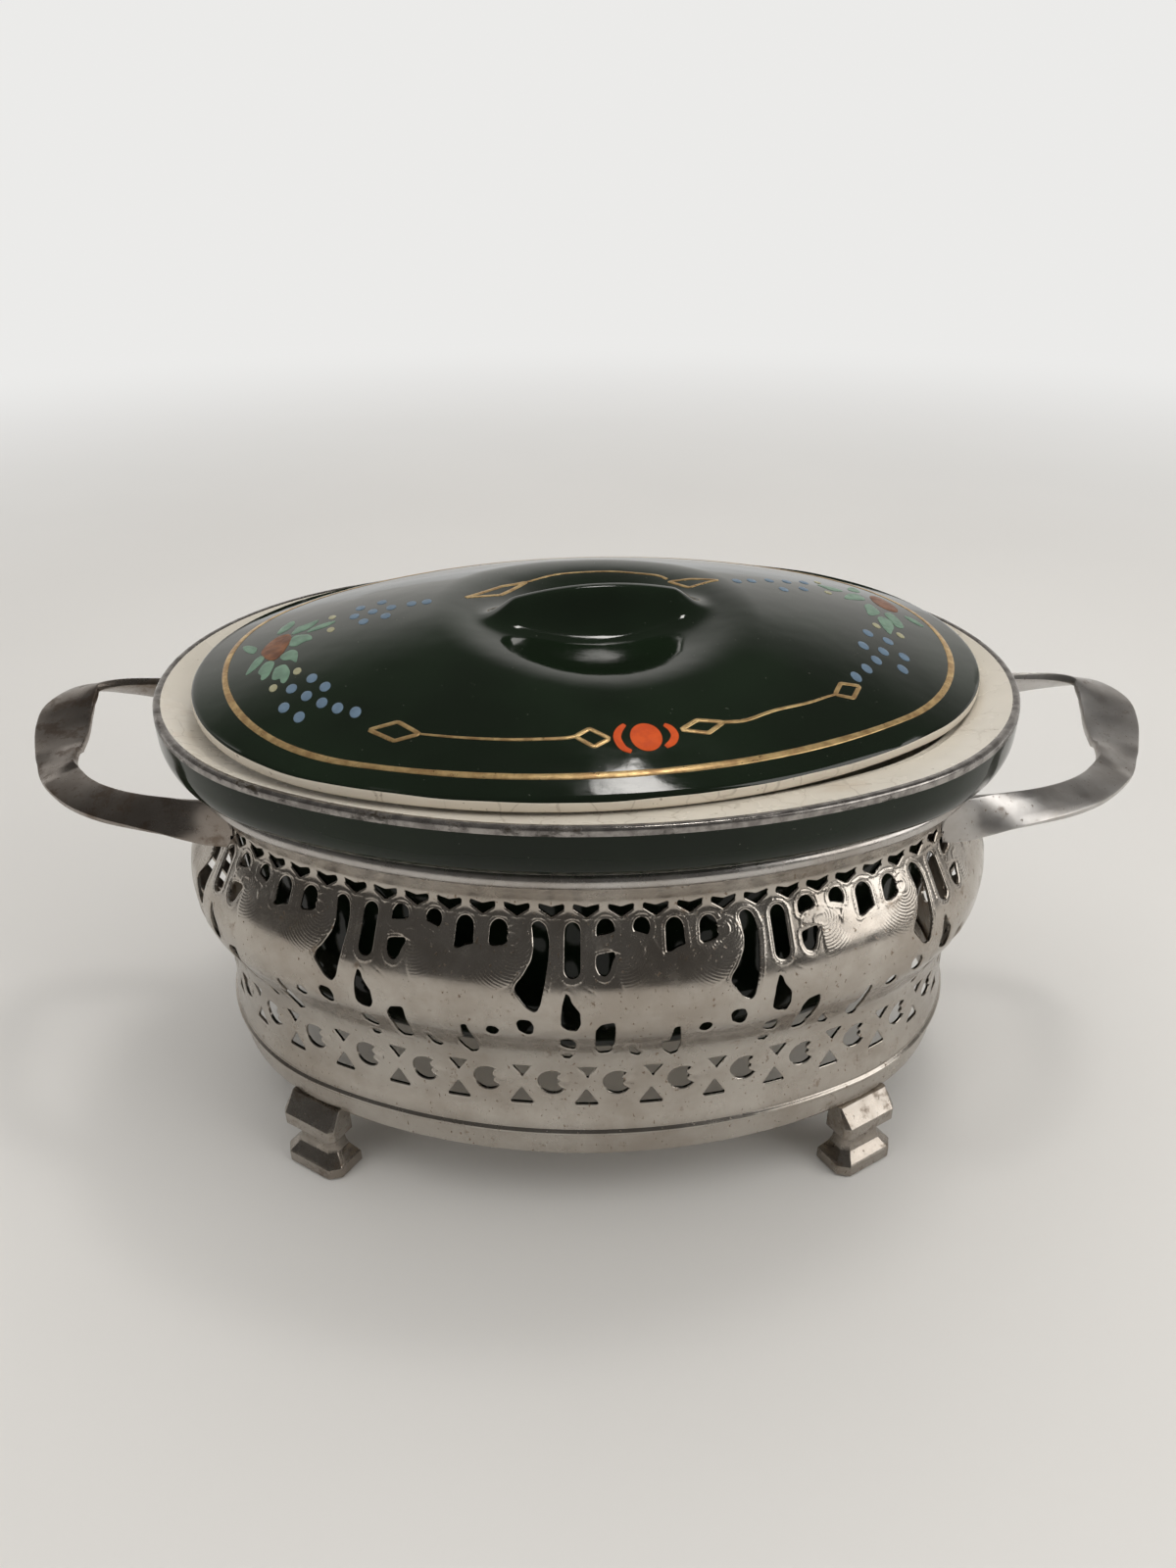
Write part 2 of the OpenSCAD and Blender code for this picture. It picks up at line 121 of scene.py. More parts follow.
# ---------------------------------------------------------------- materials
class Nodes:
    """The node tree of a material or of the world."""

    def __init__(self, tree):
        self.tree = tree

    def node(self, kind, links=(), **settings):
        """Adds a node; each of its sockets is linked to another node's output or given a value."""
        made = self.tree.nodes.new(kind)
        for key, value in settings.items():
            setattr(made, key, value)
        for socket, source in dict(links).items():
            if isinstance(source, bpy.types.NodeSocket):
                self.tree.links.new(source, made.inputs[socket])
            else:
                made.inputs[socket].default_value = source
        return made

    def axis(self, letter, place):
        """One coordinate of a place."""
        return self.node("ShaderNodeSeparateXYZ", {0: place}).outputs[letter]

    def spread(self, value, lo, hi, to_lo=0.0, to_hi=1.0):
        """Maps lo..hi to to_lo..to_hi with soft ends."""
        links = {"Value": value, "From Min": lo, "From Max": hi, "To Min": to_lo, "To Max": to_hi}
        made = self.node("ShaderNodeMapRange", links, interpolation_type="SMOOTHSTEP")
        return made.outputs["Result"]

    def math(self, operation, a, b):
        return self.node("ShaderNodeMath", {0: a, 1: b}, operation=operation).outputs[0]

    def show(self, output, share, a, b):
        """Makes a mix of two shaders the surface of the output node."""
        mixed = self.node("ShaderNodeMixShader", {0: share, 1: a, 2: b}).outputs[0]
        self.tree.links.new(mixed, self.tree.nodes[output].inputs["Surface"])


class Look(Nodes):
    """A Principled material and the few node recipes that the finishes share."""

    def __init__(self, name, **settings):
        self.mat = bpy.data.materials.new(name)
        self.mat.use_nodes = True
        super().__init__(self.mat.node_tree)
        self.shader = self.tree.nodes["Principled BSDF"]
        self.place = self.node("ShaderNodeTexCoord").outputs["Object"]
        for socket, value in settings.items():
            self.shader.inputs[socket.replace("_", " ")].default_value = value

    def noise(self, per_mm, detail=3.0, rough=0.55, stretch=None):
        place = self.place
        if stretch:
            place = self.node("ShaderNodeMapping", {"Vector": place, "Scale": stretch}).outputs[0]
        links = {"Vector": place, "Scale": per_mm / MM, "Detail": detail, "Roughness": rough}
        return self.node("ShaderNodeTexNoise", links).outputs["Fac"]

    def blend(self, share, a, b):
        """A mix of two colours; 6, 7 and 2 are the mix node's sockets for colours."""
        return self.node("ShaderNodeMix", {0: share, 6: a, 7: b}, data_type="RGBA").outputs[2]

    def bump(self, height, depth_mm, normal=None):
        """Relief of the given depth, on top of another bump's normal if there is one."""
        links = {"Height": height, "Distance": depth_mm * MM, "Strength": 1.0}
        if normal:
            links["Normal"] = normal
        return self.node("ShaderNodeBump", links).outputs["Normal"]

    def feed(self, **sources):
        """Links each source to the shader's socket of that name and gives the material."""
        for socket, source in sources.items():
            self.tree.links.new(source, self.shader.inputs[socket.replace("_", " ")])
        return self.mat


def rgb(r, g, b):
    return (r, g, b, 1.0)


def darker(colour, *by):
    """A colour with each of its three channels multiplied."""
    return rgb(*[channel * share for channel, share in zip(colour, by)])


def green_glaze(name, shine):
    """Thick, glossy bottle-green glaze: nearly black, a little greener where it lies thin."""
    look = Look(name, IOR=1.5, Specular_IOR_Level=shine)
    pooled = look.spread(look.noise(0.02, 3), 0.35, 0.7)
    tint = look.blend(pooled, rgb(0.0058, 0.0105, 0.0052), rgb(0.0085, 0.0165, 0.0078))
    dust = look.spread(look.noise(0.9, 2, 0.5), 0.745, 0.775)
    wipe = look.spread(look.noise(0.05, 4, 0.7, (1, 2.2, 1)), 0.35, 0.75, 0.055, 0.14)
    waves = look.bump(look.noise(0.07, 2, 0.4), 0.16)
    fine = look.bump(look.noise(0.6, 2), 0.006, waves)
    return look.feed(
        Base_Color=look.blend(dust, tint, rgb(0.06, 0.065, 0.05)),
        Roughness=look.math("ADD", wipe, look.math("MULTIPLY", dust, 0.25)),
        Normal=fine,
    )


def cream_glaze(name, base, stain, stain_from, gloss):
    """Cream glaze or bare clay, with fine crazing and brown stain in patches."""
    look = Look(name, IOR=1.5, Coat_Weight=0.15 if gloss < 0.3 else 0.0, Coat_Roughness=0.1)
    jitter = look.node("ShaderNodeTexNoise", {"Vector": look.place, "Scale": 0.12 / MM, "Detail": 2})
    push = look.node("ShaderNodeVectorMath", {0: jitter.outputs["Color"], 1: (0.006, 0.006, 0.006)},
                     operation="MULTIPLY")
    wander = look.node("ShaderNodeVectorMath", {0: look.place, 1: push.outputs[0]}, operation="ADD")
    cells = look.node("ShaderNodeTexVoronoi", {"Vector": wander.outputs[0], "Scale": 0.085 / MM},
                      feature="DISTANCE_TO_EDGE")
    crack = look.spread(cells.outputs["Distance"], 0.006, 0.028, 1, 0)
    patchy = look.spread(look.noise(0.03, 3), 0.42, 0.62)
    craze = look.math("MULTIPLY", crack, look.math("MULTIPLY", patchy, 0.3))
    soiled = look.spread(look.noise(0.016, 5, 0.62), stain_from, stain_from + 0.16)
    speck = look.spread(look.noise(0.55, 2), 0.70, 0.735)
    tone = look.blend(look.spread(look.noise(0.025, 4), 0.3, 0.7), base, darker(base, 0.9, 0.9, 0.9))
    tone = look.blend(look.math("MULTIPLY", soiled, 0.6), tone, stain)
    tone = look.blend(craze, tone, rgb(0.23, 0.17, 0.11))
    tone = look.blend(look.math("MULTIPLY", speck, 0.5), tone, rgb(0.18, 0.13, 0.08))
    rough = look.spread(look.noise(0.06, 3), 0.3, 0.7, gloss, gloss + 0.12)
    dents = look.bump(look.noise(0.12, 3), 0.08)
    return look.feed(Base_Color=tone, Roughness=rough, Normal=look.bump(craze, -0.01, dents))


def nickel(name, base=(0.5, 0.465, 0.42), tarnish=(0.2, 0.135, 0.085), rough=0.2, worn=0.6, pits=1.0):
    """Nickel plate: warm grey, softly worn, with brown clouds, pits and fine dents."""
    look = Look(name, Metallic=1.0)
    cloud = look.spread(look.noise(0.035, 5, 0.65), 0.34, 0.68)
    bright = look.blend(cloud, rgb(*base), darker(base, 0.74, 0.71, 0.68))
    patch = look.spread(look.noise(0.13, 6, 0.7), worn, worn + 0.13)
    specks = look.spread(look.noise(0.9, 3, 0.55, (1, 1, 0.6)), 0.655, 0.70)
    brown = look.math("MAXIMUM", look.math("MULTIPLY", patch, 0.6),
                      look.math("MULTIPLY", specks, 0.7 * pits))
    fog = look.spread(look.noise(0.1, 5, 0.65), 0.3, 0.75, rough, rough + 0.17)
    fine = look.bump(look.noise(0.9, 3, 0.55), 0.012)
    pitted = look.bump(specks, -0.02, fine)
    return look.feed(
        Base_Color=look.blend(brown, bright, rgb(*tarnish)),
        Roughness=look.math("ADD", fog, look.math("MULTIPLY", brown, 0.28)),
        Normal=look.bump(look.noise(0.16, 2), 0.05, pitted),
    )


def worn_line(name):
    """The rim's silvery line, rubbed through to the dark glaze in places, and dark over more of it towards
    the left.
    """
    look = Look(name, IOR=1.5)
    # the line is made darker towards the left
    left = look.spread(look.axis("X", look.place), -0.13, 0.03, 0.1, 0)
    rubbed = look.spread(look.math("ADD", look.noise(0.09, 5, 0.7, (1, 1, 2)), left), 0.56, 0.68)
    cloud = look.spread(look.noise(0.3, 3), 0.35, 0.65)
    metal = look.blend(cloud, rgb(0.36, 0.34, 0.32), rgb(0.2, 0.185, 0.175))
    return look.feed(
        Base_Color=look.blend(rubbed, metal, rgb(0.035, 0.028, 0.02)),
        Metallic=look.spread(rubbed, 0, 1, 0.9, 0.1),
        Roughness=look.spread(look.noise(0.2, 3), 0.3, 0.7, 0.16, 0.3),
    )


def enamel(name, colour, thin, rough=0.34, metallic=0.0):
    """Hand-laid enamel or gilding, uneven in the stroke."""
    look = Look(name, Metallic=metallic, IOR=1.5, Specular_IOR_Level=0.5 if metallic else 0.25)
    stroke = look.spread(look.noise(0.28, 4, 0.6), 0.33, 0.68)
    return look.feed(
        Base_Color=look.blend(stroke, colour, thin),
        Roughness=look.spread(look.noise(0.5, 3), 0.3, 0.7, rough, rough + 0.14),
        Normal=look.bump(look.noise(0.45, 3), 0.02),
    )


GREEN = green_glaze("glaze_dark_green", 0.45)
GREEN_SIDE = green_glaze("glaze_dark_green_side", 0.22)
CREAM = cream_glaze("cream_glaze", rgb(0.70, 0.655, 0.57), rgb(0.40, 0.27, 0.15), 0.58, 0.2)
CLAY = cream_glaze("cream_clay_edge", rgb(0.80, 0.73, 0.62), rgb(0.34, 0.22, 0.12), 0.6, 0.5)
LINE = worn_line("rim_worn_line")
GOLD = enamel("gilding", rgb(0.74, 0.53, 0.25), rgb(0.44, 0.27, 0.12), 0.27, 0.75)
ORANGE = enamel("enamel_orange", rgb(0.66, 0.085, 0.004), rgb(0.54, 0.058, 0.003), 0.45)
SAGE = enamel("enamel_sage_green", rgb(0.165, 0.27, 0.195), rgb(0.115, 0.19, 0.14))
BLUE = enamel("enamel_grey_blue", rgb(0.135, 0.205, 0.285), rgb(0.10, 0.155, 0.22))
STRAW = enamel("enamel_straw", rgb(0.38, 0.37, 0.24), rgb(0.3, 0.28, 0.17))
RUST = enamel("enamel_rust", rgb(0.22, 0.088, 0.036), rgb(0.11, 0.042, 0.02))
SHEET = nickel("nickel_sheet", rough=0.15)
BEAD = nickel("nickel_bead", (0.5, 0.48, 0.46), (0.3, 0.23, 0.18), worn=0.66, pits=0.5)
# the sheet's inner face: a darker nickel, painted shade for the inside of the stand, with more brown patches
INSIDE_PAINTED_SHADE = nickel("nickel_inside_painted_shade", (0.32, 0.28, 0.23), rough=0.36, worn=0.5)
# lit and shaded copies of one nickel: the right handle's is painted lighter, as lit from the right, and the
# left one's is painted darker and browner, as in shade
STRAP_PAINTED_LIT = nickel("nickel_handle_painted_lit", (0.56, 0.545, 0.53), (0.24, 0.19, 0.15), rough=0.3)
STRAP_PAINTED_SHADE = nickel("nickel_handle_painted_shade", (0.34, 0.305, 0.275), (0.16, 0.11, 0.075), 0.24, 0.5)
CAST = nickel("nickel_cast_foot", (0.42, 0.385, 0.345), (0.17, 0.125, 0.09), worn=0.52)


# ---------------------------------------------------------------- meshes
def piece(name, points, faces, materials, body, replaced=None, zones=None, sharp=40):
    """A mesh piece from points in millimetres, riding on a body in the place of a CAD node.

    Zones gives the place of each face's material in the list of materials.
    """
    mesh = bpy.data.meshes.new(name)
    mesh.from_pydata((np.asarray(points, float) * MM).tolist(), [], [list(f) for f in faces])
    for mat in materials:
        mesh.materials.append(mat)
    if zones is not None:
        mesh.polygons.foreach_set("material_index", np.asarray(zones, np.int32))
    mesh.polygons.foreach_set("use_smooth", np.ones(len(mesh.polygons), bool))
    mesh.validate()
    mesh.set_sharp_from_angle(angle=math.radians(sharp))
    obj = bpy.data.objects.new(name, mesh)
    bpy.context.scene.collection.objects.link(obj)
    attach(obj, body)
    if replaced:
        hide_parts(replaced)
    return obj


def rounded(corners, steps, closed=False):
    """A line through corners of (x, y, radius), each corner turned into a short curve."""
    n = len(corners)
    line = []
    for i, (x, y, r) in enumerate(corners):
        p = np.array([x, y], float)
        if r == 0 or (not closed and i in (0, n - 1)):
            line.append(p)
            continue
        before = np.array(corners[(i - 1) % n][:2], float) - p
        after = np.array(corners[(i + 1) % n][:2], float) - p
        d0 = min(r, 0.48 * np.hypot(*before))
        d1 = min(r, 0.48 * np.hypot(*after))
        a = p + before / np.hypot(*before) * d0
        b = p + after / np.hypot(*after) * d1
        for k in range(steps + 1):
            t = k / steps
            line.append(a * (1 - t) ** 2 + p * 2 * t * (1 - t) + b * t * t)
    return np.array(line)


def spaced(line, step, closed=False):
    """The same line with points at about equal steps."""
    line = np.asarray(line, float)
    if closed:
        line = np.vstack([line, line[:1]])
    run = np.concatenate([[0], np.cumsum(np.hypot(*np.diff(line, axis=0).T[:2]))])
    count = max(3, int(round(run[-1] / step)))
    at = np.linspace(0, run[-1], count + 1)
    made = np.column_stack([np.interp(at, run, column) for column in line.T])
    return made[:-1] if closed else made


def curve(points, steps, closed=False):
    """A smooth curve through points (Catmull-Rom)."""
    p = np.asarray(points, float)
    n = len(p)
    line = []
    for i in range(n if closed else n - 1):
        q = [p[(i + k) % n] if closed else p[min(max(i + k, 0), n - 1)] for k in (-1, 0, 1, 2)]
        for k in range(steps):
            t = k / steps
            line.append(0.5 * (
                2 * q[1] + (q[2] - q[0]) * t + (2 * q[0] - 5 * q[1] + 4 * q[2] - q[3]) * t * t
                + (3 * q[1] - q[0] - 3 * q[2] + q[3]) * t ** 3))
    if not closed:
        line.append(p[-1])
    return np.array(line)


def oval_ring(a, z):
    """Points round the oval of half-length a; z is one height or one for each point."""
    return np.column_stack([*oval_xy(a, NORMAL), np.broadcast_to(z, AROUND)])


def oval_sweep(profile):
    """A profile of (half-length, height) carried round the oval."""
    return np.vstack([oval_ring(a, z) for a, z in profile])


def ring_faces(rings, looped=False):
    """Quads between rings of points; the rings run up the outside first."""
    bands = rings if looped else rings - 1
    j, i = np.meshgrid(np.arange(bands), np.arange(AROUND), indexing="ij")
    low, high = j * AROUND, (j + 1) % rings * AROUND
    k = (i + 1) % AROUND
    return np.stack([low + i, low + k, high + k, high + i], -1).reshape(-1, 4)


def shell(points, materials, finish, hubs):
    """Points, faces and zones of rings that are closed by a fan at either end.

    The finish is the material of each band, and each hub the height and material of a fan.
    """
    last = len(points) // AROUND - 1
    faces = [tuple(f) for f in ring_faces(last + 1)]
    zones = list(np.repeat([materials.index(mat) for mat in finish], AROUND))
    for ring, (z, mat) in zip((0, last), hubs):
        hub = len(points)
        points = np.vstack([points, [[0, 0, z]]])
        for i in range(AROUND):
            a, b = ring * AROUND + i, ring * AROUND + (i + 1) % AROUND
            faces.append((hub, a, b) if ring else (hub, b, a))
            zones.append(materials.index(mat))
    return points, faces, zones


def closed_ring(name, profile, mat, body, replaced, sharp=40):
    """A closed profile carried round the oval."""
    faces = ring_faces(len(profile), looped=True)
    piece(name, oval_sweep(profile), faces, [mat], body, replaced, sharp=sharp)


# ---------------------------------------------------------------- dish
SEAT_Z = bead_hi.z + 0.3
BODY_A = 112.3
LIP_OUT_A, LIP_IN_A = RIM_A - 1.6, RIM_A - 14.2
LEDGE_A = LIP_IN_A - 2
RIM_Z = dish_hi.z
LIP_FALL, LEDGE_STEP = 5.0, 0.8
# height, direction and narrowness of each rise of the lip's inner edge, which fades towards the rim
LIP_WARPS = ((2.3, math.radians(-48), 3), (0.6, math.radians(-110), 2))
WARP_FADE = 12
BOTTOM_Z = dish_lo.z
# where one glaze gives way to the next
CLAY_TO_Z, LINE_FROM_Z, LINE_FROM_A = BOTTOM_Z + 0.3, RIM_Z - 2.6, RIM_A - 2.1


def dish_profile():
    """From the middle of the underside, up the outside, over the lip and down to the inside floor."""
    bottom_a = BODY_A - 6
    outside = [
        (bottom_a - 13, BOTTOM_Z, 0), (bottom_a - 12, BOTTOM_Z, 0.6), (bottom_a - 9, BOTTOM_Z, 2),
        (bottom_a - 0.5, BOTTOM_Z + 2.5, 8), (bottom_a + 1, BOTTOM_Z + 14, 10),
        (BODY_A - 1.5, SEAT_Z - 28, 20), (BODY_A, SEAT_Z - 10, 10), (BODY_A + 0.2, SEAT_Z - 0.2, 1.2),
        (bead_hi.x - 1.6, SEAT_Z, 1.5), (RIM_A - 2.2, SEAT_Z + 2.4, 2.6), (RIM_A - 0.2, SEAT_Z + 7, 3.2),
        (RIM_A, RIM_Z - 5, 2), (RIM_A, RIM_Z - 2.2, 1),
    ]
    ledge_z = RIM_Z - LIP_FALL - LEDGE_STEP
    lip = [
        (RIM_A - 0.15, RIM_Z - 0.3, 1.1), (LIP_OUT_A, RIM_Z - 0.1, 1.2),
        (LIP_IN_A + 0.4, RIM_Z - LIP_FALL + 0.1, 0.8), (LIP_IN_A - 0.3, ledge_z, 0.8),
        (LEDGE_A, ledge_z, 1.2), (LEDGE_A - 0.4, ledge_z - 4, 3),
        (BODY_A - 5, SEAT_Z - 10, 10), (BODY_A - 6.5, SEAT_Z - 30, 20), (bottom_a - 4, BOTTOM_Z + 14, 10),
        (bottom_a - 6, BOTTOM_Z + 6, 10), (bottom_a - 20, BOTTOM_Z + 6, 4), (bottom_a - 50, BOTTOM_Z + 6, 0),
    ]
    return rounded(outside + lip, steps=5)


def casserole_dish():
    """The dish: green outside, a worn line on the rim, cream inside and bare clay underneath."""
    profile = dish_profile()
    a, z = profile.T
    rows, top = len(profile), int(np.argmax(z))
    points = oval_sweep(profile)
    # finished by hand: the dish's upper part wavers by a tenth of a millimetre or so
    turn = np.tile(SHARE * 2 * math.pi, rows)
    points[:, 2] += 0.12 * np.sin(3 * turn + 0.8) * (points[:, 2] > SEAT_Z + 1)
    # the lip's inner edge lies a little higher in front, most of all on the right, under the tipped lid
    inwards = np.where(a > LEDGE_A - 0.5, smooth((LIP_OUT_A - a) / WARP_FADE), 0)
    on_lip = (z > RIM_Z - LIP_FALL - 1) & (np.arange(rows) > rows // 3)
    inner = np.repeat(inwards * on_lip, AROUND)
    for height, middle, power in LIP_WARPS:
        points[:, 2] += height * inner * np.maximum(0, np.cos(np.tile(NORMAL, rows) - middle)) ** power
    finish = []
    for i, (a, z) in enumerate((profile[:-1] + profile[1:]) / 2):
        if i < top and z <= CLAY_TO_Z:
            finish.append(CLAY)
        elif i < top and z < LINE_FROM_Z:
            finish.append(GREEN_SIDE)
        elif a > LINE_FROM_A and z > LINE_FROM_Z:
            finish.append(LINE)
        else:
            finish.append(CREAM)
    materials = [GREEN_SIDE, LINE, CREAM, CLAY]
    points, faces, zones = shell(points, materials, finish, [(BOTTOM_Z, CLAY), (profile[-1][1], CREAM)])
    piece("dish_glazed", points, faces, materials, "dish", "casserole_dish", zones, sharp=50)


# ---------------------------------------------------------------- lid
# The lid lies as in the photograph: turned, a little off the middle and tipped over two places of the lip.
LID_TURN, LID_TIP, LID_SHIFT = math.radians(11), math.radians(1.65), 2.5
TIP_AXIS = Vector((0.7396, 0.6730, 0))
LID_A = RIM_A - 10.7
LID_W = LID_A - OVAL_SLIM
LID_H = 25.35  # in the solids, from the underside of the edge to the top of the grip
LID_Z = lid_hi.z - LID_H
LID_T = 5.0
LID_TOP_Z = LID_Z + 3.6
# the bare clay edge, as (way out from the lid's half-length, height over its underside)
LID_EDGE = [(-3.2, 0.2), (-1.4, 0.0), (-0.6, 0.0), (-0.15, 0.35), (0, 1.0), (0, 1.9), (0, 2.7)]
DOME_RISE = 19.0
RECESS_L, RECESS_W, RECESS_D = 48.0, 54.0, 13.0
GRIP_L, GRIP_W, GRIP_RISE, GRIP_DROP = 36.0, 5.0, 3.2, 6.0


def saucer(x, y):
    """Height of the lid's dome with its finger recess, over the edge."""
    dome = DOME_RISE * (1 - np.hypot(x / LID_A, y / LID_W) ** 1.8)
    q = np.minimum(1, np.hypot(x / RECESS_L, y / RECESS_W))
    return dome - RECESS_D * (1 - q * q) ** 2


def lid_height(x, y):
    """Height of the lid's upper surface at x, y of its own, unturned frame."""
    # the grip's ridge fades out towards its ends and falls off, rounded, to both sides
    crest = DOME_RISE + GRIP_RISE - GRIP_DROP * (x / GRIP_L) ** 2
    rise = np.maximum(0, crest - saucer(x, 0 * y))
    along = 1 - smooth((np.abs(x) / GRIP_L - 0.65) / 0.4)
    across = (np.hypot(y, 0.7) - 0.7) / GRIP_W
    return LID_TOP_Z + saucer(x, y) + rise * along / (1 + across ** 2.2)


def turned(points):
    """Carries points of the lid's own frame to where the lid lies."""
    c, s = math.cos(LID_TURN), math.sin(LID_TURN)
    p = np.asarray(points, float)
    p = np.column_stack([p[:, 0] * c - p[:, 1] * s + LID_SHIFT, p[:, 0] * s + p[:, 1] * c, p[:, 2] - LID_Z])
    return p @ np.array(Matrix.Rotation(LID_TIP, 3, TIP_AXIS)).T + [0, 0, LID_Z]


def lid():
    """The lid, drawn in its own frame and then carried to where it lies."""
    ex, ey = oval_xy(LID_A, NORMAL)
    turn = SHARE * 2 * math.pi
    waver = 0.16 * np.sin(7 * turn) + 0.1 * np.sin(17 * turn + 1) + 0.07 * np.sin(31 * turn + 2)
    under_shares = np.linspace(0.04, 0.93, 40)
    top_shares = np.concatenate([np.linspace(0.9915, 0.5, 56), np.linspace(0.5, 0.004, 110)[1:]])
    rings = []
    for s in under_shares:
        x, y = ex * s, ey * s
        rings.append(np.column_stack([x, y, LID_TOP_Z + saucer(x, y) - LID_T]))
    rings += [oval_ring(LID_A + out, LID_Z + up) for out, up in LID_EDGE]
    # the glaze ends in a wavering line
    for out, up, much in ((-0.12, 3.0, 0.8), (-0.5, 3.55, 0.35)):
        rings.append(oval_ring(LID_A + out, LID_Z + up + waver * much))
    for s in top_shares:
        x, y = ex * s, ey * s
        rings.append(np.column_stack([x, y, lid_height(x, y)]))
    finish = [CREAM] * (len(under_shares) - 1) + [CLAY] * (len(LID_EDGE) + 1)
    finish += [GREEN] * (len(top_shares) + 1)
    hubs = [(rings[0][:, 2].mean(), CREAM), (lid_height(np.zeros(1), np.zeros(1))[0], GREEN)]
    materials = [GREEN, CREAM, CLAY]
    points, faces, zones = shell(np.vstack(rings), materials, finish, hubs)
    piece("lid_glazed", turned(points), faces, materials, "lid", "lid", zones, sharp=50)


# ---------------------------------------------------------------- painting on the lid
class Painting:
    """Strokes and dabs of enamel: thin closed solids that hug the lid's upper surface."""

    THICK, SUNK = 0.14, 0.25
    # share of the half-width and height of the points across a stroke
    ACROSS = ((0.98, -SUNK), (1, THICK * 0.4), (0.72, THICK), (0, THICK * 1.1), (-0.72, THICK),
              (-1, THICK * 0.4), (-0.98, -SUNK))

    def __init__(self):
        self.points, self.faces, self.zones, self.mats = [], [], [], []

    def material(self, mat):
        """The place of a material in the list, where it is put if it's new."""
        if mat not in self.mats:
            self.mats.append(mat)
        return self.mats.index(mat)

    def lay(self, xy, up):
        """Adds points at a height over the lid's surface and tells the number of the first."""
        first = len(self.points)
        z = lid_height(xy[:, 0], xy[:, 1]) + up
        self.points.extend(np.column_stack([xy, z]).tolist())
        return first

    def stroke(self, line, width, mat, closed=False):
        """A band along a line; width is one number or one for each point."""
        line = np.asarray(line, float)
        n = len(line)
        width = np.broadcast_to(np.asarray(width, float), (n,))
        if closed:
            d = np.roll(line, -1, 0) - np.roll(line, 1, 0)
        else:
            d = np.gradient(line, axis=0)
        d /= np.maximum(1e-9, np.hypot(d[:, 0], d[:, 1]))[:, None]
        side = np.column_stack([-d[:, 1], d[:, 0]]) * width[:, None] / 2
        rows = [self.lay(line + side * share, up) for share, up in self.ACROSS]
        zone = self.material(mat)
        m = len(rows)
        for i in range(n if closed else n - 1):
            k = (i + 1) % n
            for j in range(m):
                a, b = rows[j], rows[(j + 1) % m]
                self.faces.append((a + i, b + i, b + k, a + k))
                self.zones.append(zone)
        if not closed:
            self.faces.append(tuple(rows))
            self.faces.append(tuple(r + n - 1 for r in reversed(rows)))
            self.zones.extend([zone, zone])

    def dab(self, outline, mat):
        """A filled shape, raised a little more in its middle."""
        line = np.asarray(outline, float)
        if np.cross(line, np.roll(line, -1, 0)).sum() < 0:
            line = line[::-1]
        middle = line.mean(0)
        n = len(line)
        rows = [self.lay(line, -self.SUNK), self.lay(line, self.THICK * 0.4)]
        rows += [self.lay(middle + (line - middle) * s, self.THICK * u) for s, u in ((0.9, 1), (0.5, 1.15))]
        zone = self.material(mat)
        for a, b in zip(rows, rows[1:]):
            for i in range(n):
                k = (i + 1) % n
                self.faces.append((a + i, a + k, b + k, b + i))
                self.zones.append(zone)
        for row, up, flip in ((rows[-1], self.THICK * 1.2, False), (rows[0], -self.SUNK, True)):
            hub = self.lay(middle[None, :], up)
            for i in range(n):
                k = (i + 1) % n
                self.faces.append((hub, row + k, row + i) if flip else (hub, row + i, row + k))
                self.zones.append(zone)

    def dot(self, x, y, rx, ry, mat, sides):
        t = np.arange(sides) / sides * 2 * math.pi
        self.dab(np.column_stack([x + rx * np.cos(t), y + ry * np.sin(t)]), mat)


# Lozenges of the painted line, each from its outer tip; the front has four, the back two
FRONT_LOZENGES = [
    [(-68.5, -48.5), (-61, -48), (-56, -54), (-62.5, -54.5)],
    [(-9.5, -65.5), (-14, -61.5), (-18, -63.5), (-14, -67.5)],
    [(9, -64.5), (14, -61.5), (21, -62.5), (16, -66)],
    [(64.5, -47), (59, -46.5), (55.5, -51.5), (60.5, -52.5)],
]
BACK_LOZENGES = [
    [(-37, 15), (-24, 27.5), (-15.5, 32.5), (-25.5, 20.5)],
    [(42.5, 16), (34.5, 20.5), (28, 22), (32.5, 14.5)],
]
# The gold lines between them, the dot in front (x, y and its two half-widths) and its two brackets
LINES = [
    [(-56, -54), (-46, -58), (-34, -61.5), (-22, -63.5), (-18, -63.5)],
    [(55.5, -51.5), (53, -52.5), (46, -55.5), (36, -58.5), (27, -62), (21, -62.5)],
    [(-15.5, 32.5), (-4, 38.5), (11.5, 37.5), (24.5, 29.5), (28, 24)],
]
DOT = (-0.3, -66, 4.05, 4.5)
STRAW_DOT, BLUE_DOT = (1.15, 1.9), (1.5, 2.25)
EDGE_LINE_IN, EDGE_LINE_W, LOZENGE_W = 6.9, 1.75, 1.2
BRACKETS = [
    [(-4.9, -61.4), (-6.6, -63), (-7.6, -65.2), (-7.3, -67.6), (-6.5, -69.1), (-5, -70.2)],
    [(5.2, -62.4), (6.6, -63.8), (7.1, -66.1), (6, -68.2), (3.9, -69.6)],
]


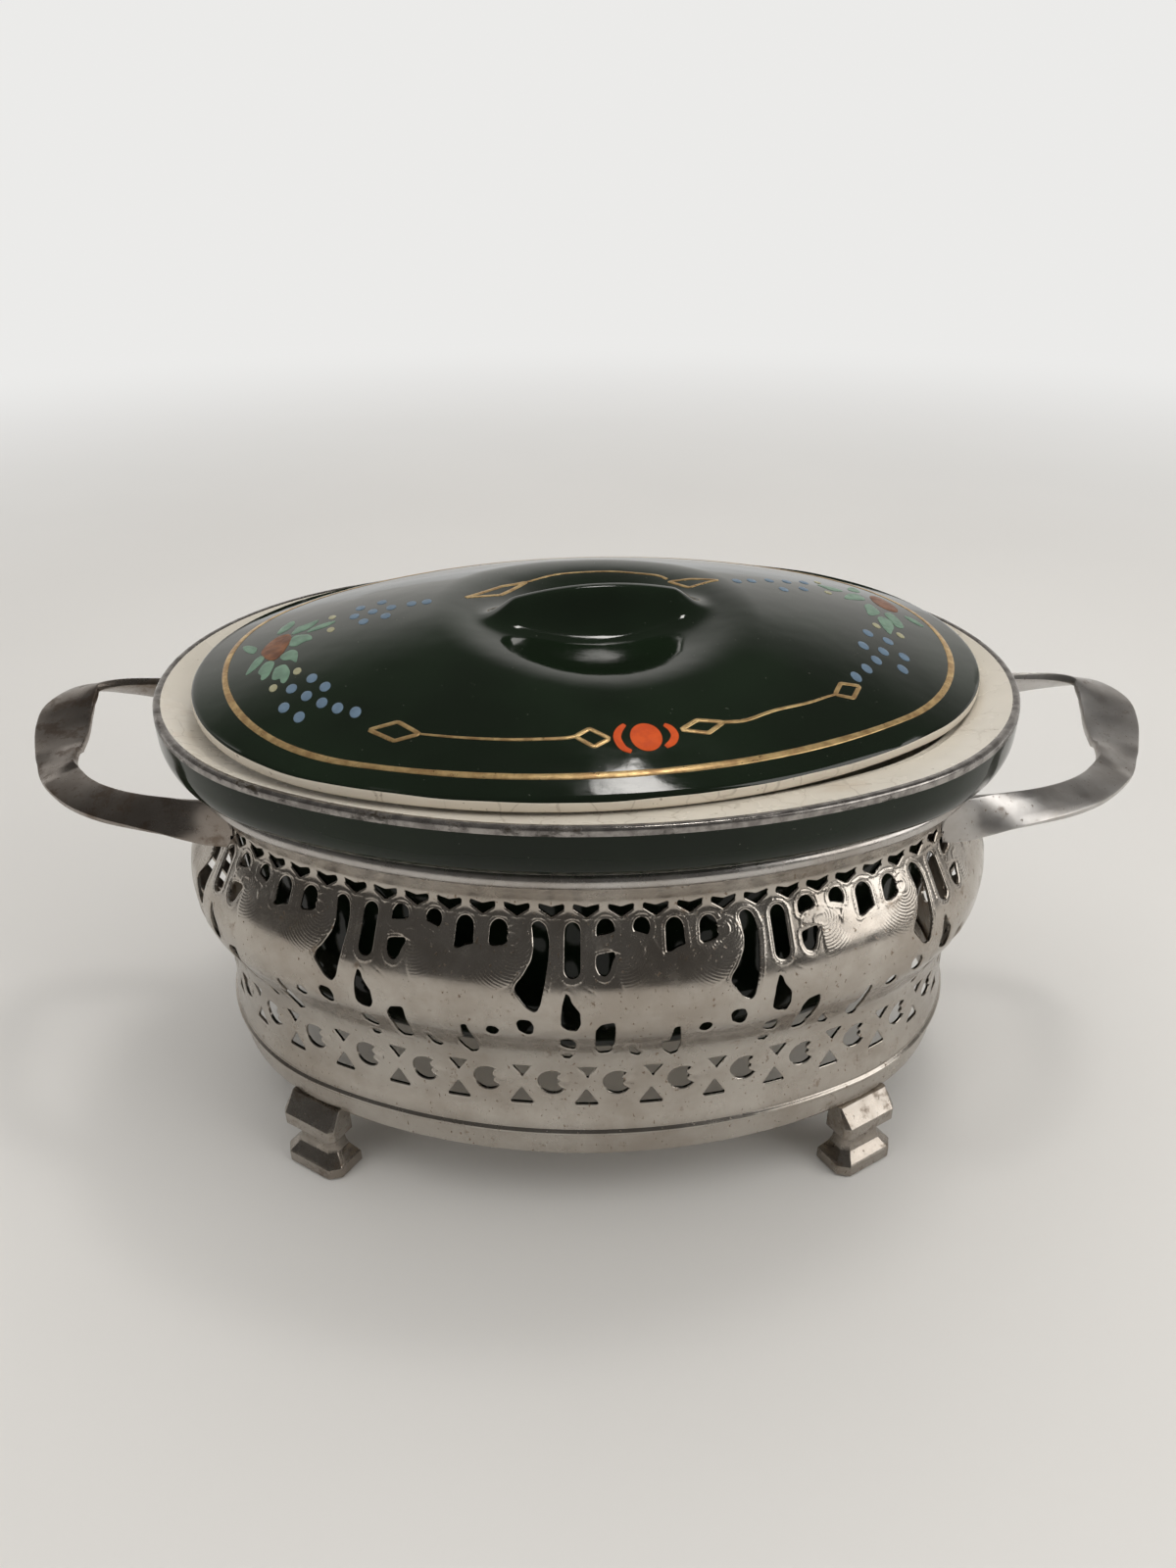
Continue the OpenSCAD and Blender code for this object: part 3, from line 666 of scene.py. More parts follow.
# The two half flowers at the lid's ends: outlines of the heart and petals, and places of the dots
LEFT_FLOWER = {
    "heart": [(-97, 3.5), (-96.5, 8), (-93, 14), (-89.5, 14), (-88.5, 9.5), (-89.5, 4.5), (-91, -0.5),
              (-93, -3), (-95, -1.5)],
    "petals": [
        [(-89, 4.5), (-88, 10.5), (-85, 10), (-83, 8), (-82.5, 4.5), (-84.5, 4), (-87, 2.5)],
        [(-91.5, -2), (-90, 0), (-88, 0.5), (-86.5, -2), (-86.5, -6.5), (-87, -8.5), (-88.5, -6),
         (-90.5, -5)],
        [(-93.5, -14), (-93, -9.5), (-92, -8), (-90, -8), (-89, -10.5), (-88.5, -13.5), (-89, -16.5),
         (-90, -18.5), (-91, -17.5), (-91.3, -15.5), (-92.5, -15.5)],
        [(-97.5, -8), (-96, -3.5), (-94, -3), (-93, -5), (-93.5, -8.5), (-94.5, -12), (-96, -13.5),
         (-96.6, -12.5), (-96.6, -10.5)],
        [(-101, -7.5), (-100, -2.5), (-98.5, 1.5), (-97, 2.5), (-96, 0.5), (-97, -3), (-99, -6)],
        [(-88.5, 13), (-87, 18), (-84, 19), (-80.5, 20), (-82.5, 15), (-85.5, 13)],
        [(-84, 11), (-82.5, 13.5), (-79, 15), (-75.5, 14.5), (-77.5, 12), (-80.5, 11)],
        [(-93, 17), (-91.5, 23), (-88.5, 26.5), (-88, 22), (-90.5, 17.5)],
        [(-99.5, 6), (-102, 10), (-103, 14.5), (-101, 14), (-98.5, 9.5)],
    ],
    "straw": [(-86.5, -14), (-93, -19.5), (-76.5, 19), (-77, 8)],
    "blue": [(-82.5, -20), (-79, -26), (-88, -22.5), (-84, -28), (-80, -33), (-90, -30.5), (-86, -36.5),
             (-76, -37), (-71.5, -40.5), (-61.5, 22.5), (-68, 21.5), (-64.5, 15), (-70, 14.5), (-67.5, 8),
             (-61, 8.5), (-59, 15), (-53, 14.5), (-48.5, 13.5)],
}
RIGHT_FLOWER = {
    "heart": [(94, 10), (94.5, 16), (96.5, 21), (99.5, 21.5), (101, 16), (101, 10), (99, 5.5), (96, 5.5)],
    "petals": [
        [(83, 11), (87, 17.5), (91, 20), (92, 16.5), (91, 13), (86.5, 11)],
        [(88, 6.5), (91, 9), (91.5, 5.5), (91, 1), (87.5, -2.5), (85.5, -2.5), (86.5, 1.5)],
        [(87.5, -5), (89.5, -2.5), (92, -4.5), (91, -9.5), (89, -13), (87, -16), (86.5, -14.5),
         (86.5, -10.5)],
        [(92.5, 1), (95.5, 3), (96, -1.5), (95.5, -6.5), (94, -9.5), (92, -9), (92, -4)],
        [(79, 24.5), (82, 24.5), (85, 23.5), (86.5, 20.5), (82, 18.5), (80, 21.5)],
        [(90, 24), (92, 29), (95, 31), (95, 26), (93, 23)],
        [(100.5, 3), (103, 1), (104, -4), (102, -4), (100, 0)],
    ],
    "straw": [(84.5, -11), (90.5, -15.5), (79, 15), (81, 29)],
    "blue": [(79, -17.5), (84, -21), (74, -26), (79.5, -28), (75, -33.5), (70, -38.5), (65, -43),
             (85.5, -29.5), (82, -36.5), (48.5, 16), (54, 18), (61, 21), (67.5, 22.5), (74.5, 25),
             (62.5, 11.5), (70.5, 15)],
}


def lid_painting():
    """Gold line, lozenges and lines, the orange dot with its brackets, and the two half flowers."""
    art = Painting()
    # the gold line inside the lid's edge
    t = np.arange(480) / 480
    n = normal_angle(t)
    x, y = oval_xy(LID_A - EDGE_LINE_IN, n)
    band = np.column_stack([x * (1 - 0.025 * np.cos(n) ** 2), y])
    uneven = 0.14 * np.sin(t * 40) + 0.08 * np.sin(t * 97)
    art.stroke(band, EDGE_LINE_W + uneven, GOLD, closed=True)
    for lozenge in FRONT_LOZENGES + BACK_LOZENGES:
        outline = spaced(rounded([(*p, 0.5) for p in lozenge], 3, True), 0.6, True)
        art.stroke(outline, LOZENGE_W, GOLD, closed=True)
    for line in LINES:
        path = spaced(curve(line, 8), 0.9)
        art.stroke(path, np.linspace(0.65, 1.05, len(path)), GOLD)
    art.dot(*DOT, ORANGE, 32)
    for line in BRACKETS:
        path = spaced(curve(line, 8), 0.4)
        art.stroke(path, 2.0 - 0.9 * np.abs(np.linspace(-1, 1, len(path))) ** 3, ORANGE)
    for flower in (LEFT_FLOWER, RIGHT_FLOWER):
        art.dab(curve(flower["heart"], 5, True), RUST)
        for petal in flower["petals"]:
            art.dab(curve(petal, 4, True), SAGE)
        for x, y in flower["straw"]:
            art.dot(x, y, *STRAW_DOT, STRAW, 14)
        for x, y in flower["blue"]:
            art.dot(x, y, *BLUE_DOT, BLUE, 18)
    piece("lid_painting", turned(art.points), art.faces, art.mats, "lid", None,
          art.zones, sharp=60)


# ---------------------------------------------------------------- pierced wall of the stand
SHEET_TOP_Z, SHEET_FOOT_Z = sheet_hi.z, sheet_lo.z
SHEET_T = 0.9
SKIRT_A = 118.8
FLANGE_A = SKIRT_A - 0.8
# The pattern repeats round the wall. A repeat has six bays, each with one chevron, and pattern points
# are (bays, height) in the lists and millimetres along and up the wall in the functions.
REPEATS, BAYS_EACH = 12, 6
BAYS = BAYS_EACH * REPEATS
BAY = OVAL_LEN / BAYS
REPEAT_W = BAYS_EACH * BAY
PAIRS = range(0, BAYS_EACH, 2)  # where a pair of triangles and a ring begin
PATTERN_START = -0.45

# the wall's outer face, as (height, half-length)
WALL = curve([(24, 118.8), (32, 118.8), (36.7, 118.8), (42, 118.1), (50, 117.8), (57, 118.1), (63, 119.1),
              (69, 121.9), (75, 124.8), (80, 125.6), (85, 125.6), (91, 124.1), (99, 119.8), (106, 115.8),
              (109.5, 115.1), (113, 116), (116.7, 117.2), (120, 117.6)], 8)


def wall_a(z):
    """Half-length of the wall's outer face at height z."""
    return np.interp(z, WALL[:, 0], WALL[:, 1])


def on_wall(u, z, out):
    """Place of pattern point u (in bays) at height z, standing out by so much."""
    n = normal_angle((u + PATTERN_START) / BAYS)
    x, y = oval_xy(wall_a(z) + out, n)
    return np.column_stack([x, y, z])


def slot_outline(u0, u1, z0, z1):
    """An upright slot with round ends."""
    half = (u1 - u0) * BAY / 2
    mid = (u0 + u1) / 2 * BAY
    t = np.linspace(0, math.pi, 9)
    top = np.column_stack([mid + half * np.cos(t), z1 - half + half * np.sin(t)])
    low = np.column_stack([mid - half * np.cos(t), z0 + half - half * np.sin(t)])
    return np.vstack([top, low])


def cut(points, radius):
    """An outline through pattern points, its corners rounded."""
    return rounded([(u * BAY, z, radius) for u, z in points], closed=True, steps=3)


def arch(u0, u1, top, rest):
    """An opening with a round top between u0 and u1; the rest runs from its right foot to its left."""
    half = (u1 - u0) * BAY / 2
    t = np.linspace(math.pi, 0, 13)
    over = np.column_stack([(u0 + u1) / 2 * BAY + half * np.cos(t), top - half + half * np.sin(t)])
    radii = [0] + [0.5] * (len(rest) - 2) + [0]
    under = rounded([(u * BAY, z, radius) for (u, z), radius in zip(rest, radii)], steps=3)
    return np.vstack([over, under])


# Openings of one repeat, as points of (bays from its slot, height)
ARCADE = [
    slot_outline(-0.21, 0.25, 92.3, 105),
    arch(0.69, 1.22, 105.8, [(1.22, 102.9), (1.05, 102.4), (0.88, 102.2), (0.69, 101.9)]),
    cut([(0.67, 97.6), (0.84, 98.0), (1.2, 98.4), (1.23, 97.2), (1.15, 96.4), (1.1, 95), (1.05, 93.8),
         (0.93, 92.7), (0.76, 93.3), (0.67, 95)], 0.6),
    arch(1.74, 2.23, 105.9, [(2.22, 102.9), (2.16, 101.8), (1.96, 102.4), (1.76, 102.9)]),
    arch(2.66, 3.19, 105.3, [(3.21, 99.1), (2.96, 98.5), (2.8, 97.8), (2.65, 97.8)]),
    arch(3.65, 4.18, 105.1, [(4.14, 102.6), (4.22, 102), (4.13, 101.4), (4.21, 100.4), (4.1, 99.5),
                             (3.73, 98.9), (3.64, 99.6)]),
    cut([(4.84, 104.4), (5.05, 105.3), (5.27, 104), (5.37, 100.8), (5.36, 97.2), (5.28, 91.4),
         (5.14, 84.8), (5, 83), (4.76, 84.4), (4.57, 87), (4.41, 89), (4.45, 90.6), (4.64, 92.6),
         (4.76, 94.5), (4.88, 96.3), (4.93, 99.2), (4.89, 102)], 0.9),
]
CHEVRON = [(0.05, 109.8), (0.41, 108.8), (0.77, 109.8), (0.78, 108.1), (0.42, 106), (0.04, 108.1)]
CHEVRONS = [cut([(u + k, z) for u, z in CHEVRON], 0.35) for k in range(BAYS_EACH)]
PIERCINGS = [
    cut([(-0.16, 88.9), (-0.05, 88), (0, 86.2), (0.23, 83), (0.25, 79), (0.15, 76.7), (-0.1, 76.9),
         (-0.3, 78.3), (-0.3, 81.2), (-0.26, 85.3)], 0.6),
    cut([(-0.35, 71.9), (-0.1, 72.7), (0.05, 71.2), (0.1, 68.4), (0.05, 66.1), (-0.2, 66.8),
         (-0.35, 68.3)], 0.7),
    cut([(-0.35, 62.9), (-0.14, 63.4), (0, 62.5), (-0.1, 61.3), (-0.31, 61.5)], 0.4),
    cut([(0.65, 76.5), (0.8, 78.8), (1.17, 79.6), (1.21, 77.5), (1.2, 69.2), (1.12, 67), (1.16, 65.8),
         (1.08, 64.1), (0.75, 63.8), (0.65, 66.1), (0.65, 71.6)], 0.7),
    cut([(1.6, 66.6), (1.7, 68.3), (1.82, 65.3), (2.05, 62.9), (1.94, 62), (1.7, 62.9)], 0.6),
    cut([(2.6, 66.1), (2.6, 69.1), (2.8, 69), (2.85, 76.1), (3.01, 76.8), (3.05, 74.4), (3.18, 65.9),
         (3.13, 62), (2.9, 61.3), (2.7, 63.3)], 0.6),
    cut([(3.55, 74.9), (3.65, 77.1), (3.86, 77), (3.97, 75.5), (3.84, 73.1), (3.65, 73.4)], 0.8),
    cut([(4.45, 78.9), (4.56, 80.2), (4.85, 80), (4.95, 77.8), (4.9, 74.8), (4.74, 74.4), (4.51, 76)], 0.7),
]
TRIANGLES = [
    cut([(u + k, z) for u, z in corners], 0.45)
    for k in PAIRS
    for corners in ([(0.10, 57.5), (0.74, 57.5), (0.42, 53.3)], [(0.0, 43.8), (0.76, 43.8), (0.38, 49.3)])
]
RING_U, RING_Z, RING_R = 1.335, 51.7, 4.15
PEARL_U, PEARL_Z, PEARL_R, PEARL_RISE = 1.75, 52.1, 1.3, 0.3
RING_BITE = [(1.62, 55.2), (1.5, 53.9), (1.48, 52.9), (1.58, 52.1), (1.5, 51.2), (1.53, 50.2), (1.68, 49.3)]


def ring_hole(k):
    """A round opening with two small bites out of its right side, k bays along."""
    mid = (RING_U + k) * BAY
    t = np.radians(np.linspace(55, 325, 22))
    arc = np.column_stack([mid + RING_R * np.cos(t), RING_Z + RING_R * np.sin(t)])
    bite = curve([((u + k) * BAY, z) for u, z in reversed(RING_BITE)], 3)
    return np.vstack([arc, bite])


RINGS = [ring_hole(k) for k in PAIRS]
# The groups of openings, each with its raised outlines: distance from the edge, half-width and height
OPENINGS = [
    (ARCADE, [(1.15, 0.26, 0.12)]),
    (CHEVRONS, [(0.3, 0.32, 0.07)]),
    (PIERCINGS + TRIANGLES, [(0.95, 0.25, 0.06)]),
    (RINGS, [(0.3, 0.35, 0.07), (1.9, 0.26, 0.07)]),
]
WALL_LINES_Z = (59.6, 105.9)  # heights of two raised lines round the wall
LINE_HALF, LINE_RISE = 0.35, 0.06
SCROLL_HALF, SCROLL_RISE = 0.36, 0.14
CUT_HALF, CUT_DEPTH = 0.34, 0.06

# The leaf that lies over the arcade and the raised scroll lines on it
LEAF = cut([(0.68, 99.2), (0.7, 100.6), (0.86, 102), (1.29, 102.9), (1.73, 101.7), (1.98, 99.4),
            (2.1, 101), (2.26, 101.3), (2.5, 98), (2.66, 97.2), (3.2, 98.4), (3.7, 98.4), (4.1, 99.1),
            (4.3, 100.2), (4.22, 103.4), (4.42, 104.4), (4.7, 103.2), (4.86, 100.6), (4.88, 98.4),
            (4.76, 95.6), (4.44, 92.4), (4.28, 90), (3.3, 85.5), (2.2, 85.5), (1.45, 88.5), (1.28, 93),
            (1.28, 98.6), (0.98, 98.9)], 1.2)
SCROLLS = [
    [(0.68, 98.9), (0.7, 100.6), (0.86, 102), (1.29, 102.9), (1.73, 101.7), (1.96, 99.6), (2.02, 97.8)],
    [(1.34, 98.4), (1.15, 98.8), (1.11, 99.8), (1.21, 100.9), (1.42, 101.1)],
    [(2.02, 98.4), (2.1, 101), (2.26, 101.3), (2.5, 98), (2.66, 97.2), (3.2, 98.4), (3.7, 98.4), (4.1, 99.1)],
    [(4.14, 103.8), (4.42, 104.4), (4.7, 103.2), (4.86, 100.6), (4.88, 98.4), (4.76, 95.6)],
    [(4.2, 102.7), (4.46, 102.4), (4.49, 100.8), (4.33, 99.9), (4.18, 100.4)],
]
# Fine spiral ribs round the two volutes of the scrolls: centre in millimetres, and reach
VOLUTES = [(1.36 * BAY, 99.4, 11.0), (4.34 * BAY, 100.9, 15.0)]
RIB_STEP, RIB_RISE = 0.8, 0.07
# Engraved curves between the small piercings
ENGRAVED = [
    [(0.35, 88.5), (0.62, 86.4), (0.82, 83), (0.86, 80.4)],
    [(0.42, 86.9), (0.64, 84.6), (0.74, 82)],
    [(0.3, 85.8), (0.5, 83.6), (0.56, 81.6)],
    [(0.36, 90.4), (0.7, 88.2), (0.95, 84.6)],
    [(-0.6, 74.5), (-0.5, 80), (-0.35, 84.6), (-0.2, 90.4)],
    [(1.5, 60.9), (1.34, 63.4), (1.42, 66.9), (1.62, 69.6), (1.95, 69.2)],
    [(2.2, 60.9), (2.42, 63), (2.4, 66.5), (2.2, 69.4)],
    [(3.4, 60.9), (3.5, 64.6), (3.35, 68.8), (3.5, 72)],
    [(4.2, 62), (4.32, 66), (4.2, 70.6), (4.3, 74)],
    [(0.42, 61), (0.5, 65), (0.42, 70), (0.5, 75)],
    [(5.2, 72.5), (5.3, 77), (5.15, 81.5)],
]
EDGE_STEP = 0.42  # between the points along an opening's edge
# Where the wall is meshed finely: (from bay, to bay, from height, to height, step)
FINE_GRIDS = [
    (0.5, 5.2, 86, 104.9, 0.34), (-0.6, 6, 58.8, 86, 0.7), (-0.6, 6, 36.6, 58.8, 0.8),
    (-0.6, 6, 104.5, 111.5, 0.6), (-0.6, 0.5, 86, 104.5, 0.5), (5.2, 6, 86, 104.5, 0.5),
    (-0.6, 6, 111.5, 116.6, 1.0),
]
COARSE_GRID = (-0.6, 6, 37, 116.5, 2.6)
OUTLINE_ROWS = (0.2, 0.45, 0.72, 0.95, 1.16, 1.4)  # distances from an edge at which points are set


def inside(points, polygon):
    """Which points lie inside a polygon."""
    x, y = points[:, 0][:, None], points[:, 1][:, None]
    a, b = polygon, np.roll(polygon, -1, 0)
    crosses = (a[:, 1] > y) != (b[:, 1] > y)
    with np.errstate(divide="ignore", invalid="ignore"):
        at = a[:, 0] + (y - a[:, 1]) * (b[:, 0] - a[:, 0]) / (b[:, 1] - a[:, 1])
    return (np.sum(crosses & (x < at), axis=1) % 2) == 1


def free(points, border, loops):
    """Which points lie inside the border and outside every loop."""
    made = inside(points, border)
    for loop in loops:
        made &= ~inside(points, loop)
    return made


def tree_of(points):
    """A search tree of flat points."""
    tree = kdtree.KDTree(len(points))
    for i, p in enumerate(points):
        tree.insert((p[0], p[1], 0), i)
    tree.balance()
    return tree


def distance_to(tree, points):
    """Distance of each point from the tree's nearest one."""
    return np.array([tree.find((p[0], p[1], 0))[2] for p in points])


def nearest_in(tree, points):
    """Number of the tree's point that is nearest to each point."""
    return [tree.find((p[0], p[1], 0))[1] for p in points]


def distance_to_curve(line, points):
    """Distance from a smooth curve through pattern points."""
    return distance_to(tree_of(spaced(curve(np.array(line) * [BAY, 1], 8), 0.25)), points)


def ridge(d, middle, half, height):
    """A raised line at distance `middle`, rounded across."""
    return height * np.clip(1 - ((d - middle) / half) ** 2, 0, 1)


def seam(z):
    """Where one repeat ends and the next begins: between the openings at every height."""
    return np.where(z < 59.6, -0.13, np.where(z < 105.6, -0.52, -0.09))


def repeat_outline():
    """The border of one repeat, with the same points on its left and right sides."""
    heights = (SHEET_FOOT_Z, 59.4, 59.8, 105.5, 105.7, SHEET_TOP_Z)
    left = spaced(np.array([(float(seam(np.array(z))) * BAY, z) for z in heights]), 1.0)
    right = left + [REPEAT_W, 0]
    count = 60  # points along the top and along the foot
    top = np.column_stack([np.linspace(left[-1, 0], right[-1, 0], count), np.full(count, SHEET_TOP_Z)])
    low = np.column_stack([np.linspace(left[0, 0], right[0, 0], count), np.full(count, SHEET_FOOT_Z)])
    return np.vstack([low[:-1], right[:-1], top[::-1][:-1], left[::-1][:-1]])


def scatter(low_u, high_u, low, high, step):
    """An even grid with every other row shifted."""
    xs = np.arange(low_u * BAY, high_u * BAY, step)
    ys = np.arange(low, high, step * 0.87)
    return np.array([(x + (j % 2) * step / 2, y) for j, y in enumerate(ys) for x in xs])


def volute_ribs(points, leaf_edge):
    """Fine spiral ribs round the volutes, where the leaf is."""
    out = np.zeros(len(points))
    for cx, cz, far in VOLUTES:
        dx, dz = points[:, 0] - cx, points[:, 1] - cz
        r = np.hypot(dx, dz)
        angle = np.degrees(np.arctan2(dz, dx))
        spiral = r - 0.012 * (angle + 60)
        shown = smooth((far - r) / 6) * smooth((r - 1.0) / 0.6) * smooth(leaf_edge / 0.6)
        shown = shown * smooth((80 - angle) / 30) * smooth((angle + 165) / 30)
        out += RIB_RISE * np.cos(2 * math.pi * spiral / RIB_STEP) * shown
    return out


def relief(points, trees):
    """How far the stamped wall stands out at each pattern point, in millimetres.

    The trees hold the points along the edges of each group of openings.
    """
    distances = [distance_to(tree, points) for tree in trees]
    nearest = np.min(distances, axis=0)
    out = np.zeros(len(points))
    for distance, (_, outlines) in zip(distances, OPENINGS):
        for outline in outlines:
            out += ridge(distance, *outline)
    leaf_edge = distance_to(tree_of(spaced(LEAF, 0.35, True)), points) * inside(points, LEAF)
    # the leaf covers what lies under it, and stands out a little more along its upper edge
    out *= 1 - smooth(leaf_edge / 0.4)
    out += 0.16 * smooth(leaf_edge / 0.5) * smooth((points[:, 1] - 86) / 8)
    # the edges are drawn in, as a punch leaves them
    out -= 0.2 * np.clip(1 - nearest / 0.2, 0, 1) ** 2
    out += volute_ribs(points, leaf_edge)
    for line in SCROLLS:
        out += ridge(distance_to_curve(line, points), 0, SCROLL_HALF, SCROLL_RISE)
    for line in ENGRAVED:
        out -= CUT_DEPTH * np.clip(1 - distance_to_curve(line, points) / CUT_HALF, 0, 1)
    # a pearl in the bite of every ring
    for k in PAIRS:
        near = np.hypot(points[:, 0] - (PEARL_U + k) * BAY, points[:, 1] - PEARL_Z)
        out += PEARL_RISE * np.sqrt(np.clip(1 - (near / PEARL_R) ** 2, 0, 1))
    for height in WALL_LINES_Z:
        out += ridge(np.abs(points[:, 1] - height), 0, LINE_HALF, LINE_RISE)
    return out


def flat_mesh(loops, border, extra):
    """Triangles that fill the border around the loops."""
    points, edges = [], []
    for loop in [border] + loops:
        first, n = len(points), len(loop)
        points.extend(Vector((float(p[0]), float(p[1]))) for p in loop)
        edges.extend((first + i, first + (i + 1) % n) for i in range(n))
    points.extend(Vector((float(p[0]), float(p[1]))) for p in extra)
    made = delaunay_2d_cdt(points, edges, [], 0, 1e-6, True)
    verts = np.array([tuple(v) for v in made[0]])
    faces = np.array(made[2])
    keep = free(verts[faces].mean(1), border, loops)
    return verts, faces[keep]


def beside(loops):
    """Rows of points along the outside of each loop, for its thin raised outline."""
    rows = []
    for loop in loops:
        away = loop - loop.mean(0)
        d = np.roll(loop, -1, 0) - np.roll(loop, 1, 0)
        normal = np.column_stack([d[:, 1], -d[:, 0]]) / np.maximum(1e-9, np.hypot(*d.T))[:, None]
        normal *= np.sign(np.sum(away * normal)) or 1
        rows += [loop + normal * reach for reach in OUTLINE_ROWS]
    return np.vstack(rows)


def wall_meshes(loops, border):
    """The flat front and back of one repeat, each as points and triangles."""
    # the edges bring their own points, so none of the others may lie too close to them
    every = tree_of(np.vstack(loops + [border]))
    grids = np.vstack([scatter(*grid) for grid in FINE_GRIDS])
    rims = beside(loops)
    fine = np.vstack([grids[distance_to(every, grids) > 0.3], rims[distance_to(every, rims) > 0.17]])
    coarse = scatter(*COARSE_GRID)
    coarse = coarse[distance_to(every, coarse) > 1.0]
    return [flat_mesh(loops, border, extra[free(extra, border, loops)]) for extra in (fine, coarse)]


def pierced_gallery():
    """The pierced sheet: one repeat is meshed flat, stamped and carried round the wall."""
    groups = [[spaced(hole, EDGE_STEP, True) for hole in group] for group, _ in OPENINGS]
    loops = sum(groups, [])
    border = repeat_outline()
    (front, front_faces), (back, back_faces) = wall_meshes(loops, border)
    trees = [tree_of(np.vstack([np.vstack(group) + [k * REPEAT_W, 0] for k in (-1, 0, 1)]))
             for group in groups]
    edges = (front[:, 1] < SHEET_FOOT_Z + 1e-6) | (front[:, 1] > SHEET_TOP_Z - 1e-6)
    stands = np.where(edges, 0, relief(front, trees))
    # lines along which the front is joined to the back: round every opening, and at the foot and top
    front_tree, back_tree = tree_of(front), tree_of(back)
    seams = []
    for loop in loops:
        ahead = np.cross(loop, np.roll(loop, -1, 0)).sum() > 0
        seams.append((loop if ahead else loop[::-1], True))
    for z, step in ((SHEET_FOOT_Z, 1), (SHEET_TOP_Z, -1)):
        seams.append((np.array(sorted(p for p in border.tolist() if abs(p[1] - z) < 1e-6))[::-step], False))
    walls = [(nearest_in(front_tree, line), nearest_in(back_tree, line), closed) for line, closed in seams]
    points, faces, zones = [], [], []
    for k in range(REPEATS):
        first = sum(len(p) for p in points)
        second = first + len(front)
        points.append(on_wall(front[:, 0] / BAY + BAYS_EACH * k, front[:, 1], stands))
        points.append(on_wall(back[:, 0] / BAY + BAYS_EACH * k, back[:, 1], -SHEET_T))
        faces += (front_faces + first).tolist() + (back_faces[:, ::-1] + second).tolist()
        zones += [0] * len(front_faces) + [1] * len(back_faces)
        for outer, inner, closed in walls:
            n = len(outer)
            for a in range(n if closed else n - 1):
                b = (a + 1) % n
                faces.append((outer[a] + first, inner[a] + second, inner[b] + second, outer[b] + first))
                zones.append(0)
    points, faces, zones = welded(np.vstack(points), faces, zones)
    # the sheet's inner face takes the nickel with painted shade
    piece("gallery_pierced_sheet", points, faces, [SHEET, INSIDE_PAINTED_SHADE], "stand",
          "pierced_gallery", zones, sharp=55)


def welded(points, faces, zones):
    """Joins points that fall on the same place, such as those along the seams."""
    keys = np.round(points, 3)
    _, first, back = np.unique(keys, axis=0, return_index=True, return_inverse=True)
    back = back.reshape(-1)
    made = [[int(back[i]) for i in f] for f in faces]
    good = [i for i, f in enumerate(made) if len(set(f)) == len(f)]
    return points[first], [made[i] for i in good], [zones[i] for i in good]


# ---------------------------------------------------------------- bead and base band
def rim_bead():
    """The rolled bead along the stand's top edge."""
    r = (bead_hi.z - bead_lo.z) / 2
    a, z = (bead_hi.x - bead_lo.x) / 2 - r, (bead_hi.z + bead_lo.z) / 2
    t = np.radians(np.arange(0, 360, 15))
    profile = np.column_stack([a + r * np.cos(t), z + r * np.sin(t)])
    closed_ring("rim_bead_rolled", profile, BEAD, "stand", "rim_bead")


def base_band():
    """The flange under the sheet and its raised line, drawn from the top's outer corner inwards."""
    t = 1.8  # thickness of the metal
    low_a, top, foot = FLANGE_A, SHEET_FOOT_Z, band_lo.z
    profile = rounded([
        (SKIRT_A, top, 0.1), (SKIRT_A - t, top, 0.1), (SKIRT_A - t, top - 3.4, 0.5),
        (low_a - t, top - 4.4, 0.5), (low_a - t, foot, 0.4), (low_a - 0.3, foot, 0.3),
        (low_a, foot + 0.6, 0.4), (low_a + 0.05, foot + 4, 1), (low_a, top - 3.9, 0.6),
        (SKIRT_A - 0.1, top - 3.3, 0.3), (SKIRT_A + 0.9, top - 2.6, 0.35),
        (SKIRT_A + 0.9, top - 1.8, 0.35), (SKIRT_A - 0.1, top - 1.2, 0.3),
    ], closed=True, steps=3)[::-1]
    closed_ring("base_band_flange", profile, SHEET, "stand", "base_band", sharp=50)


# ---------------------------------------------------------------- feet
FOOT_ANGLE = 58.0
FOOT_OUT, FOOT_L, FOOT_H = 5.2, 20.0, 24.5


def foot_levels():
    """Height, reach outwards, reach inwards, half-length and bevel of the corners."""
    half = FOOT_L / 2
    return [
        (0, FOOT_OUT + 0.4, 5, half, 2.8), (0.7, FOOT_OUT + 1.2, 5.6, half + 0.8, 3),
        (4.2, FOOT_OUT + 1.2, 5.6, half + 0.8, 3), (5, FOOT_OUT + 0.7, 5.2, half + 0.3, 2.9),
        (6.2, FOOT_OUT - 0.7, 4.6, half - 1, 2.4), (7.6, FOOT_OUT - 1.9, 4, half - 2.2, 2),
        (9.2, FOOT_OUT - 2.6, 3.6, half - 2.8, 1.6), (11.2, FOOT_OUT - 2.8, 3.4, half - 3, 1.4),
        (12.8, FOOT_OUT - 2.3, 3.5, half - 2.4, 1.4), (14.1, FOOT_OUT - 1.2, 3.7, half - 1.2, 1.5),
        (14.9, FOOT_OUT - 0.2, 3.9, half - 0.2, 1.5), (15.2, FOOT_OUT, 4, half, 1.5),
        (19.2, FOOT_OUT, 4, half, 1.5), (FOOT_H, 0.5, 4, half - 0.6, 0.5),
    ]


